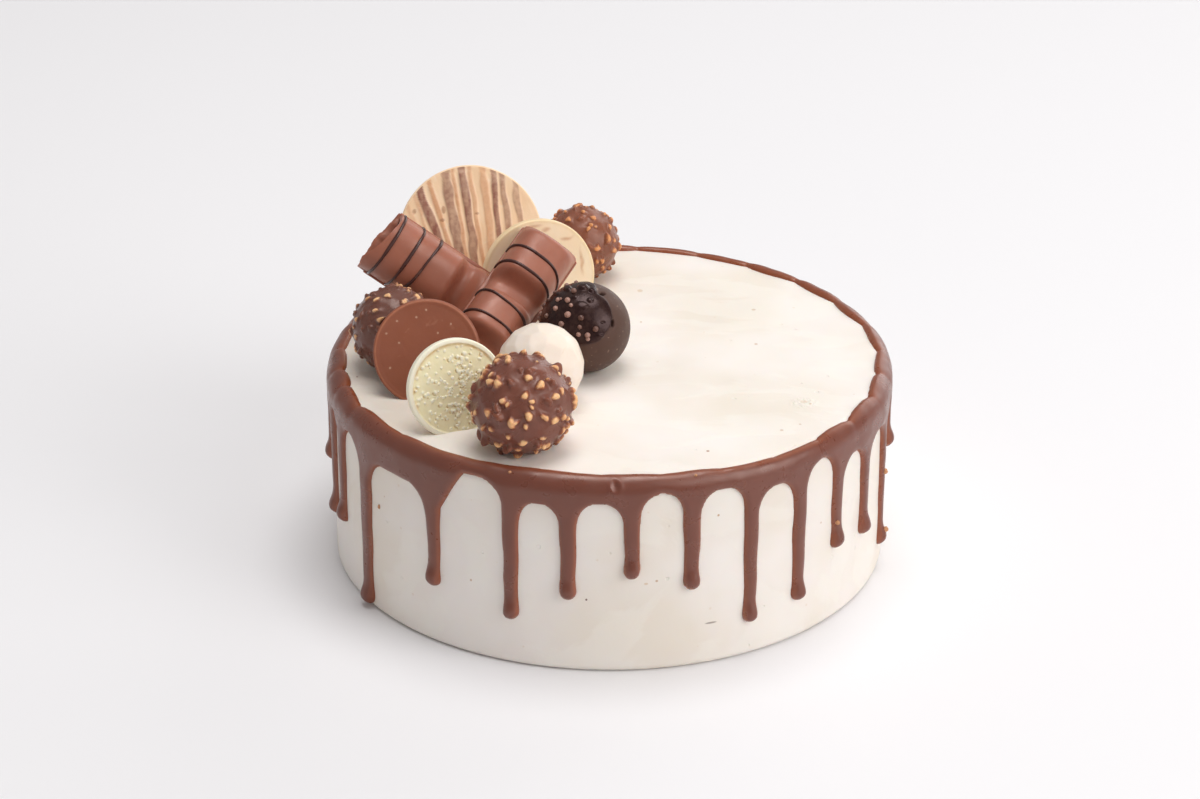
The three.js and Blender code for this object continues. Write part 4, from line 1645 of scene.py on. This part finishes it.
@dataclass
class MilkDisc(Disc):
    """The milk chocolate disc with a thin lighter rim line and small specks."""

    specks: tuple[tuple[float, float], ...] = (
        (-9.1, 10.2), (7.8, 8.7), (-8.7, 3.3), (-11.8, -4.5), (0.2, 13.4), (3.6, 6.0), (-12.6, 6.4),
        (-3.0, 11.2),
    )
    speck_radius: float = 0.28
    line_width: float = 0.28

    def relief(self, flat: Array) -> Array:
        """Returns a nearly even face with a slight lip at its edge."""
        away = from_axis(flat)
        lip = 0.12 * smooth((away - self.radius + 2.2) / 1.2)
        return lip + 0.04 * layered_noise(flat, 6.0, self.seed, 2)

    def masks(self, flat: Array, front: Array) -> dict[str, Array]:
        """Returns the masks of the rim line and the specks."""
        away = from_axis(flat)
        rim = hill(away - self.radius + self.edge + 0.1, self.line_width)
        specks = np.zeros(len(flat))
        for x, y in self.specks:
            near = np.hypot(flat[:, 0] - x, flat[:, 1] - y)
            specks = np.maximum(specks, smooth((self.speck_radius * 1.5 - near) / 0.25))
        return {"rim": rim * smooth((flat[:, 2] + 1.0) / 0.6), "speck": specks * front}


@dataclass
class PaleDisc(Disc):
    """The pale disc: a smooth rim round a slightly sunken face with sparse raised grains."""

    rim_width: float = 1.25
    sunk: float = 0.5
    grains: int = 220
    grain_size: float = 0.72
    grain_rise: float = 0.27
    shaded_pit_share: float = 0.4
    pit_depth: float = 0.3
    band_width: float = 0.5

    def grain_places(self) -> list[tuple[float, float, float, float]]:
        """Returns each grain's place, radius and whether a shallow pit with painted shade lies beside it."""
        random = np.random.default_rng(41)
        found = []
        reach = self.radius - self.rim_width - 0.9
        while len(found) < self.grains:
            x, y = random.uniform(-reach, reach, 2)
            dense = 0.3 + 0.7 * math.exp(-(((x - 2.0) / 8.0) ** 2) - ((y + 2.0) / 9.0) ** 2)
            size = self.grain_size * random.uniform(0.5, 1.15)
            pit = float(random.random() < self.shaded_pit_share)
            if math.hypot(x, y) < reach and random.random() < dense:
                found.append((x, y, size, pit))
        return found

    def spots(self, flat: Array) -> tuple[Array, Array]:
        """Tells where the grains lie, and the shallow pits with painted shade beside them.

        Args:
            flat: n x 3 local places.

        Returns:
            The share of a grain and the share of a pit with painted shade at each place.
        """
        grain, pit = np.zeros(len(flat)), np.zeros(len(flat))
        warp = 0.16 * noise(flat, 0.7, 11)
        for x, y, size, beside in self.grain_places():
            away = np.hypot(flat[:, 0] - x, flat[:, 1] - y) + warp
            grain = np.maximum(grain, smooth((size - away) / size * 1.6))
            # each pit lies below and left of its grain, where the grain's shadow falls; its tan colour is
            # painted shade, laid in a shallow dent
            shade = np.hypot((flat[:, 0] - x + 0.7 * size) / 0.9, flat[:, 1] - y + 0.5 * size)
            pit = np.maximum(pit, beside * smooth((size * 0.95 - shade) / (0.5 * size)))
        return grain, pit * (1.0 - grain)

    def relief(self, flat: Array) -> Array:
        """Returns the sunken face with its grains."""
        away = from_axis(flat)
        down = smooth((self.radius - self.rim_width - away) / 0.7)
        grain, pit = self.spots(flat)
        soft = 0.1 * layered_noise(flat, 2.2, 19, 2)
        face = self.grain_rise * grain - self.pit_depth * pit + soft - self.sunk
        return down * face + (1.0 - down) * 0.05 * noise(flat, 4.0, 3)

    def masks(self, flat: Array, front: Array) -> dict[str, Array]:
        """Returns the masks of the face, its grains, the painted shade in the pits beside them, and the tan
        band inside the rim.
        """
        away = from_axis(flat)
        down = smooth((self.radius - self.rim_width - away) / 0.5) * front
        grain, pit = self.spots(flat)
        round_face = np.degrees(np.arctan2(flat[:, 1], flat[:, 0]))
        upper = smooth((round_face - 25.0) / 15.0) * smooth((165.0 - round_face) / 15.0)
        dashes = smooth((noise(flat * [1.0, 1.0, 0.0], 2.2, 51) + 0.1) / 0.3)
        left = smooth((np.abs(round_face) - 150.0) / 15.0) * dashes
        band = hill(away - self.radius + self.rim_width + 0.55, self.band_width)
        uneven = 0.75 + 0.35 * noise(flat, 1.6, 53)
        line = band * np.maximum(upper, 0.8 * left) * uneven * front
        return {"face": down, "pit": pit * down, "grain": grain * down, "line": np.clip(line, 0.0, 1.0)}


# ---- bars


@dataclass
class Bar:
    """A humped bar: a base with a dome along it, which dips at each neck."""

    name: str
    start: Point
    heading: float
    dip: float
    roll: float
    length: float
    width: float
    height: float
    end_height: float
    necks: tuple[float, ...]
    stripes: tuple[tuple[float, float], ...]
    hollow: bool = False
    base: float = 2.0
    neck_depth: float = 5.6
    neck_width: float = 4.5
    neck_power: float = 3.0
    broken_reach: float = 4.6
    broken_length: float = 7.0
    broken_start: float = 0.3
    broken_rise: float = 0.42
    broken_peak: float = 0.72
    broken_fall: float = 0.28
    broken_back: float = 0.45
    lip_reach: float = 0.7
    lip_longer: float = 2.0
    lip_height: float = 1.1
    lip_overlap: float = 0.6
    pinch: float = 0.012
    dome_side: float = 0.72
    dome_top: float = 0.8
    step: float = 0.42
    dome_points: int = 72
    end_round: float = 1.6
    stripe_width: float = 1.1
    stripe_rise: float = 0.6
    seed: int = 0
    finish: Finish = field(kw_only=True)
    stripe_finish: Finish = field(kw_only=True)

    def place(self, local: Array) -> Array:
        """Moves points from the bar's own frame to the cake's.

        Args:
            local: n x 3 points: x down the bar, y across it and z out of its dome.

        Returns:
            n x 3 points.
        """
        turn, down = math.radians(self.heading), math.radians(self.dip)
        flat = math.cos(down)
        axis = np.array([math.cos(turn) * flat, math.sin(turn) * flat, -math.sin(down)])
        upright = np.array([0.0, 0.0, 1.0]) - axis * axis[2]
        upright /= np.linalg.norm(upright)
        spin = Matrix.Rotation(math.radians(self.roll), 3, Vector(axis))
        dome = np.array(spin @ Vector(upright))
        across = np.cross(dome, axis)
        return np.array(self.start) + local @ np.stack([axis, across, dome])

    def dome_height(self, along: Array) -> Array:
        """Returns the dome's height above the base's underside."""
        rise = smooth((along + 1.0) / 9.0)
        height = self.end_height + (self.height - self.end_height) * rise
        for neck in self.necks:
            away = np.abs((along - neck) / self.neck_width)
            height = height - self.neck_depth * np.exp(-(away**self.neck_power))
        return height

    def broken_end(self, along: float, turn: Array, inset: float) -> Array:
        """Tells how far the dome runs out past the broken end, most a little past its middle.

        Args:
            along: how far down the bar.
            turn: 0 at one foot of the dome and pi at the other.
            inset: how far inside the surface.

        Returns:
            The distances in millimetres.
        """
        if not self.hollow:
            return 0.0 * turn
        share = turn / math.pi
        rising = np.clip((share - self.broken_start) / self.broken_rise, 0.0, 1.0) ** 1.3
        out = rising - self.broken_back * smooth((share - self.broken_peak) / self.broken_fall)
        ragged = 0.3 * noise(on_line(share * 30.0), 2.0, self.seed)
        fade = max(0.0, 1.0 - along / self.broken_length)
        return (self.broken_reach * out + ragged) * fade * math.exp(-inset / 3.0)

    def surface(self, along: Array, turn: Array, lift: Array | float = 0.0) -> Array:
        """Places points on the dome.

        Args:
            along: how far down the bar.
            turn: 0 at one foot of the dome and pi at the other.
            lift: how far off the surface.

        Returns:
            n x 3 local points.
        """
        height = self.dome_height(along)
        pinch = 1.0 - self.pinch * (self.height - self.dome_height(np.maximum(along, 8.0)))
        half = (self.width / 2 - 0.6) * pinch + lift
        across = np.sign(np.cos(turn)) * np.abs(np.cos(turn)) ** self.dome_side * half
        upward = np.abs(np.sin(turn)) ** self.dome_top
        return np.stack([along, across, self.base + upward * (height - self.base + lift)], axis=-1)

    def section(self, along: float, inset: float = 0.0) -> Array:
        """Returns a closed loop round the bar.

        Args:
            along: how far down the bar.
            inset: how far inside the surface the loop runs.

        Returns:
            The loop's local points.
        """
        turn = np.linspace(0.0, math.pi, self.dome_points)
        dome = self.surface(along - self.broken_end(along, turn, inset), turn, -inset)
        half = self.width / 2 - inset
        low = inset
        base = [[half - 0.5, low], [half, low + 0.5], [half, self.base - 0.3], [half - 0.3, self.base]]
        right = np.array([[along, y, z] for y, z in base])
        left = np.array([[along, -y, z] for y, z in reversed(base)])
        return np.concatenate([right, dome, left])

    def body(self) -> Sheet:
        """Returns the bar's body, with rounded ends, or a hollow at the raised one."""
        count = int(self.length / self.step)
        places = np.linspace(0.0, self.length, count)
        rows = []
        if self.hollow:
            for depth, inset in ((5.0, 4.4), (3.6, 3.4), (1.8, 2.4), (0.5, 1.9), (0.0, 1.5)):
                rows.append(self.section(0.0, inset) + [depth, 0.0, 0.0])
            rows.append(self.section(0.0, 0.7) + [-0.15, 0.0, 0.0])
        else:
            for turn in np.linspace(0.15, math.pi / 2, 6, endpoint=False):
                inset = self.end_round * (1.0 - math.sin(turn))
                rows.append(self.section(self.end_round * (1.0 - math.cos(turn)) * 0.6, inset))
        rows += [self.section(float(x)) for x in places if x > 0.8 * self.end_round or self.hollow]
        for turn in np.linspace(math.pi / 2, 0.15, 6)[1:]:
            inset = self.end_round * (1.0 - math.sin(turn))
            rows.append(self.section(self.length, inset))
        sheet = closed_loft(rows)
        local = sheet.points
        soft = 0.1 * layered_noise(local, 8.0, self.seed, 2) + 0.03 * noise(local, 2.0, self.seed + 9)
        middle = np.array([0.0, 0.0, self.base])
        outward = local - middle
        outward[:, 0] = 0.0
        outward /= np.maximum(np.linalg.norm(outward, axis=1, keepdims=True), 1e-6)
        above = smooth((local[:, 2] - self.base) / 2.0)
        return Sheet(local + outward * (soft * above)[:, None], sheet.faces)

    def lip(self) -> Sheet:
        """Returns the rough tongue of base at the hollow end, longer on one side."""
        count = 60
        across = np.linspace(1.0, -1.0, count)
        half = self.width / 2 - 0.5
        side = smooth((1.0 - across) / 1.2)
        spots = on_line(across * half)
        ragged = 0.5 * layered_noise(spots, 2.2, 15, 3)
        reach = self.lip_reach + self.lip_longer * side + ragged
        high = self.base + self.lip_height + 0.5 * layered_noise(spots, 2.6, 25, 2)
        rows = []
        for share, low, tall in ((0.0, 0.0, 1.0), (0.55, 0.15, 0.95), (0.9, 0.4, 0.8), (1.0, 0.8, 0.55)):
            x = self.lip_overlap - (reach + self.lip_overlap) * share
            over = np.stack([x, across * half, high * tall], axis=1)
            under = np.stack([x, across * half, low + 0 * across], axis=1)
            rows.append(np.concatenate([over, under[::-1]]))
        return closed_loft(rows)

    def stripe(self, along: float, slant: float, seed: int) -> Sheet:
        """Returns one thin raised line across the dome.

        Args:
            along: where it crosses the middle of the dome.
            slant: how far it slants from one foot of the dome to the other.
            seed: settles how it wavers.

        Returns:
            The stripe's local mesh.
        """
        steps = 64
        fraction = np.linspace(0.0, 1.0, steps)
        turn = math.pi * (0.02 + 0.96 * fraction)
        waver = 0.35 * noise(on_line(fraction * 9.0), 2.0, seed)
        at = along + slant * (0.5 - fraction) + waver
        width = self.stripe_width * (0.9 + 0.25 * noise(on_line(fraction * 14.0), 2.0, seed + 3)) / 2
        rows = []
        for i in range(steps):
            loop = []
            for angle in np.linspace(0.0, math.pi, 9):
                x = at[i] - math.cos(angle) * width[i]
                lift = self.stripe_rise * math.sin(angle) ** 0.8
                loop.append(self.surface(np.array(x), np.array(turn[i]), lift))
            loop.append(self.surface(np.array(at[i] + width[i]), np.array(turn[i]), -0.4))
            loop.append(self.surface(np.array(at[i] - width[i]), np.array(turn[i]), -0.4))
            rows.append(np.array(loop))
        return closed_loft(rows)

    def build(self) -> None:
        """Makes the bar and its stripes."""
        body = self.body()
        if self.hollow:
            body = body.joined(self.lip())
        body.points = self.place(body.points)
        name = self.name + "_body"
        make_piece(name, body, self.finish.build(), [self.name], crease=60.0)
        drawn = [self.stripe(*stripe, self.seed + i) for i, stripe in enumerate(self.stripes)]
        lines = reduce(Sheet.joined, drawn)
        lines.points = self.place(lines.points)
        make_piece(self.name + "_stripes", lines, self.stripe_finish.build())


# ---- crumbs


@dataclass(frozen=True)
class Crumb:
    """A loose crumb: where the photograph shows it, its half size and how far out it lies."""

    pixel: tuple[float, float]
    size: float
    lift: float
    long: float = 1.0


@dataclass
class Crumbs:
    """The few loose crumbs that lie on the icing and on the drip."""

    places: tuple[Crumb, ...] = (
        Crumb((509.8, 472.2), 0.55, 1.5),
        Crumb((885.0, 471.2), 0.95, 1.5),
        Crumb((837.6, 522.6), 0.8, 1.5),
        Crumb((885.6, 529.3), 0.9, 2.5),
        Crumb((695.8, 475.4), 0.5, 1.5),
        Crumb((379.1, 506.6), 0.4, 0.1, 2.0),
    )
    seed: int = 3
    finish: Finish = ChocolateFinish(
        "nut crumbs", srgb(214, 156, 112), 0.55, second=srgb(170, 108, 70), scuff=srgb(244, 206, 160)
    )

    def sheet(self) -> Sheet:
        """Returns the crumbs, joined into one mesh."""
        small = ball_sheet(4)
        crumbs = []
        for i, crumb in enumerate(self.places):
            rough = 1.0 + 0.35 * layered_noise(small.points, 0.9, i + self.seed, 2)
            shape = small.points * rough[:, None] * [crumb.size, crumb.size * 0.8, crumb.size * crumb.long]
            crumbs.append(Sheet(shape + CAKE.seen_at(crumb.pixel, crumb.lift), small.faces))
        return reduce(Sheet.joined, crumbs)

    def build(self) -> None:
        """Makes the crumbs."""
        make_piece("crumbs", self.sheet(), self.finish.build())


# ---- stage


@dataclass(frozen=True)
class Lamp:
    """A soft lamp: where it stands, how large and bright it is, and its colour."""

    name: str
    place: Point
    size: float
    power: float
    colour: Colour = (1.0, 1.0, 1.0)


@dataclass
class Studio:
    """The floor, the lamps and the camera, which aren't part of the cake."""

    centre: Point = (0.0, 0.0, 0.05)
    floor_size: float = 9.0
    ambient: float = 0.334
    lamps: tuple[Lamp, ...] = (
        Lamp("overhead softbox", (0.1, 0.1, 1.9), 1.2, 18.5),
        Lamp("right window", (1.7, -0.9, 0.9), 1.4, 13.4),
        Lamp("front right softbox", (1.23, -0.96, 1.41), 1.3, 7.2),
        Lamp("bright backdrop", (1.15, 1.75, 0.75), 1.8, 12.0),
    )

    def floor(self) -> None:
        """Makes the plain pale floor."""
        half = self.floor_size / 2
        corners = [(-half, -half), (half, -half), (half, half), (-half, half)]
        mesh = bpy.data.meshes.new("floor")
        mesh.from_pydata([(x, y, -0.0002) for x, y in corners], [], [(0, 1, 2, 3)])
        finish = Finish("pale floor", srgb(240, 238, 239), 0.7, specular=0.2)
        material, _, _ = finish.start()
        mesh.materials.append(material)
        floor = bpy.data.objects.new("floor", mesh)
        bpy.context.scene.collection.objects.link(floor)

    def light(self) -> None:
        """Sets the pale surroundings and the lamps."""
        world = bpy.data.worlds.new("pale room")
        world.use_nodes = True
        background = world.node_tree.nodes["Background"]
        background.inputs["Color"].default_value = (1.0, 0.995, 1.0, 1.0)
        background.inputs["Strength"].default_value = self.ambient
        bpy.context.scene.world = world
        for lamp in self.lamps:
            data = bpy.data.lights.new(lamp.name, "AREA")
            data.shape = "DISK"
            data.size = lamp.size
            data.energy = lamp.power
            data.color = lamp.colour
            light = bpy.data.objects.new(lamp.name, data)
            light.location = lamp.place
            toward = Vector(self.centre) - Vector(lamp.place)
            light.rotation_euler = toward.to_track_quat("-Z", "Y").to_euler()
            bpy.context.scene.collection.objects.link(light)

    def camera(self) -> None:
        """Places the camera at the photograph's viewing angle."""
        right, upward, ahead = SIGHT.axes()
        data = bpy.data.cameras.new("camera")
        data.lens = SIGHT.lens
        data.sensor_width = SIGHT.sensor
        data.clip_end = 50.0
        camera = bpy.data.objects.new("camera", data)
        axes = Matrix((right, upward, -ahead)).transposed().to_4x4()
        camera.matrix_world = Matrix.Translation(Vector(SIGHT.eye) * MM) @ axes
        bpy.context.scene.collection.objects.link(camera)
        bpy.context.scene.camera = camera
        bpy.context.scene.view_settings.view_transform = "Standard"

    def build(self) -> None:
        """Makes the whole stage."""
        self.camera()
        self.floor()
        self.light()


# ---- the chocolates on the cake


def nut_finish(name: str, coat: Colour, thin: Colour, nuts: Colour, roast: Colour, seed: float) -> Finish:
    """Returns a nut ball's finish: its coat, where that is thin, its bare nuts and the roasted ones."""
    return MaskedChocolate(
        name, coat, 0.31, under_skin=0.2, under_skin_depth=CHOCOLATE_DEPTH, gleam=WARM_GLEAM,
        second=tuple(value * 0.8 for value in coat), scuff=tuple(value * 1.7 for value in coat),
        scuff_share=0.15, scuff_strength=0.25, grain_depth=0.00004, seed=seed,
        layers=(("thin", thin, 0.8), ("nut", nuts, 1.0), ("roast", roast, 0.6)),
        masked_roughness=(("nut", 0.36),),
    )


class Sweets:
    """The finishes and the places of the chocolates on the cake."""

    striped = MaskedChocolate(
        "blond striped chocolate", srgb(252, 220, 184), 0.45, under_skin=0.1, under_skin_depth=WHITE_DEPTH,
        second=srgb(246, 206, 162), scuff=srgb(254, 234, 210), scuff_share=0.3,
        layers=(
            ("tan", srgb(204, 134, 86), 0.9),
            ("mauve", srgb(142, 82, 68), 1.0),
            ("dark_line", srgb(108, 56, 48), 0.85),
            ("spot", srgb(150, 88, 48), 0.6),
        ),
        seed=3.0,
    )
    ivory = MaskedChocolate(
        "ivory chocolate", srgb(254, 231, 198), 0.42, under_skin=0.1, under_skin_depth=WHITE_DEPTH,
        second=srgb(250, 221, 180), scuff=srgb(252, 238, 216), scuff_share=0.3,
        layers=(("rim", srgb(238, 206, 150), 0.5), ("smudge", srgb(196, 136, 86), 0.6)), seed=5.0,
    )
    milk = MaskedChocolate(
        "milk disc chocolate", srgb(146, 84, 60), 0.45, under_skin=0.15, under_skin_depth=CHOCOLATE_DEPTH,
        specular=0.4, second=srgb(136, 76, 54), scuff=srgb(176, 118, 92), scuff_share=0.32,
        scuff_strength=0.35, layers=(("rim", srgb(190, 122, 92), 0.75), ("speck", srgb(214, 176, 150), 0.8)),
        seed=7.0,
    )
    pale = MaskedChocolate(
        "pale chocolate", srgb(254, 247, 224), 0.45, under_skin=0.1, under_skin_depth=WHITE_DEPTH,
        specular=0.7, second=srgb(252, 241, 210), scuff=srgb(254, 248, 238),
        layers=(
            ("face", srgb(255, 242, 196), 1.0),
            # the pit colour is painted shade beside the grains, in shallow dents
            ("pit", srgb(222, 194, 136), 0.7),
            ("grain", srgb(254, 248, 226), 0.85),
            ("line", srgb(220, 180, 112), 0.85),
        ),
        seed=9.0,
    )
    dark = MaskedChocolate(
        "dark chocolate", srgb(86, 64, 54), 0.5, specular=0.35, gleam=(1.0, 0.72, 0.7),
        second=srgb(74, 54, 46), scuff=srgb(118, 94, 80), scuff_share=0.2, grain_depth=0.00009,
        # the cap colour also paints shade into the ball's deepest pits
        layers=(("speck", srgb(150, 122, 106), 0.6), ("cap", srgb(34, 15, 14), 0.97)),
        masked_roughness=(("cap", 0.25),), seed=11.0,
    )
    pearls = MaskedChocolate(
        "dark ball pearls", srgb(92, 58, 46), 0.28, second=srgb(74, 44, 36), scuff=srgb(150, 112, 98),
        layers=(("pale", srgb(196, 150, 134), 0.85),), seed=12.0,
    )
    bar = ChocolateFinish(
        "bar chocolate", srgb(166, 102, 80), 0.4, under_skin=0.2, under_skin_depth=CHOCOLATE_DEPTH,
        specular=0.65, gleam=WARM_GLEAM, second=srgb(152, 88, 66), scuff=srgb(196, 142, 120),
        scuff_share=0.12, scuff_strength=0.3, grain_depth=0.00003, seed=13.0,
    )
    stripe = ChocolateFinish(
        "bar stripes", srgb(76, 42, 35), 0.3, second=srgb(62, 33, 28), scuff_strength=0.1, seed=15.0
    )
    white = ChocolateFinish(
        "white ball chocolate", srgb(244, 230, 216), 0.42, under_skin=0.12, under_skin_depth=WHITE_DEPTH,
        second=srgb(236, 216, 196), scuff=srgb(222, 196, 164), scuff_share=0.2, scuff_strength=0.3,
        stretch=(1.0, 0.5, 2.0), seed=17.0,
    )
    front_nuts = nut_finish(
        "front nut ball", srgb(122, 72, 57), srgb(176, 100, 60), srgb(252, 204, 148), srgb(216, 148, 94), 19.0
    )
    left_nuts = nut_finish(
        "left nut ball", srgb(112, 70, 58), srgb(164, 100, 66), srgb(248, 200, 146), srgb(200, 134, 86), 23.0
    )
    back_nuts = nut_finish(
        "back nut ball", srgb(136, 80, 58), srgb(186, 110, 68), srgb(240, 174, 114), srgb(200, 124, 76), 29.0
    )

    def discs(self) -> list[Disc]:
        """Returns the four discs."""
        striped = StripedDisc(
            "striped_disc", (-46.6, 54.6, 83.7), radius=24.2, thickness=3.0, yaw=8.0, lean=24.0,
            slot="striped_chocolate", finish=self.striped, rings=80,
        )
        marbled = MarbledDisc(
            "marbled_disc", (-23.2, 34.0, 78.1), radius=19.4, thickness=3.0, yaw=20.0, lean=12.0,
            slot="ivory_chocolate", finish=self.ivory, seed=2,
        )
        milk = MilkDisc(
            "milk_disc", (-57.6, -26.1, 78.6), radius=17.0, thickness=2.6, yaw=5.0, lean=26.0,
            slot="milk_chocolate", finish=self.milk, seed=4,
        )
        pale = PaleDisc(
            "pale_disc", (-47.1, -51.6, 78.2), radius=15.6, thickness=3.0, yaw=20.0, lean=18.0,
            slot="pale_chocolate", finish=self.pale, rings=96, around=512, seed=6,
        )
        return [striped, marbled, milk, pale]

    def bars(self) -> list[Bar]:
        """Returns the two humped bars."""
        left = Bar(
            "bar_left", (-74.5, 24.4, 94.6), heading=-2.5, dip=35.6, roll=62.5, length=36.5, width=23.0,
            height=14.0, end_height=13.0, necks=(28.2,), neck_depth=5.2, neck_width=3.4,
            stripes=((1.2, 0.3), (8.2, 0.5), (13.8, 4.4)), hollow=True, seed=31, finish=self.bar,
            stripe_finish=self.stripe,
        )
        right = Bar(
            "bar_right", (-20.0, 32.7, 89.7), heading=-119.6, dip=22.4, roll=-32.4, length=55.0, width=21.5,
            height=14.5, end_height=5.0, necks=(29.5, 54.5), neck_depth=6.6, neck_power=4.0,
            stripes=((15.4, 4.0), (22.4, 2.0), (37.2, 5.0), (45.6, 1.5)), seed=37, finish=self.bar,
            stripe_finish=self.stripe,
        )
        return [left, right]

    def balls(self) -> list[Ball]:
        """Returns the five balls."""
        front = NutBall("ball_front", (-26.8, -65.9, 79.9), 15.1, self.front_nuts, seed=11)
        left = NutBall(
            "ball_left", (-68.9, -7.9, 78.6), 13.4, self.left_nuts, bits=112, bit_size=1.1, bit_height=1.45,
            bare_share=0.6, seed=23,
        )
        back = NutBall(
            "ball_back", (-9.6, 64.8, 77.4), 12.4, self.back_nuts, bits=104, bit_size=1.1, bit_height=1.4,
            bare_share=0.75, seed=37,
        )
        dark = DarkBall("dark_ball", (-7.9, -8.9, 79.5), 14.5, self.dark, pearl_finish=self.pearls)
        white = WhiteBall("white_ball", (-21.6, -35.9, 78.6), 13.7, self.white)
        return [front, left, back, dark, white]

    def build(self) -> None:
        """Makes every chocolate that stands on the cake."""
        for sweet in [*self.discs(), *self.bars(), *self.balls()]:
            sweet.build()


def main() -> None:
    """Builds the cake's looks in order, and writes how large they are."""
    logging.basicConfig(level=logging.INFO, format="%(message)s")
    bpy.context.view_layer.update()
    Studio().build()
    IcedCake().build()
    ChocolateDrip().build()
    Sweets().build()
    Crumbs().build()


if __name__ == "__main__":
    main()
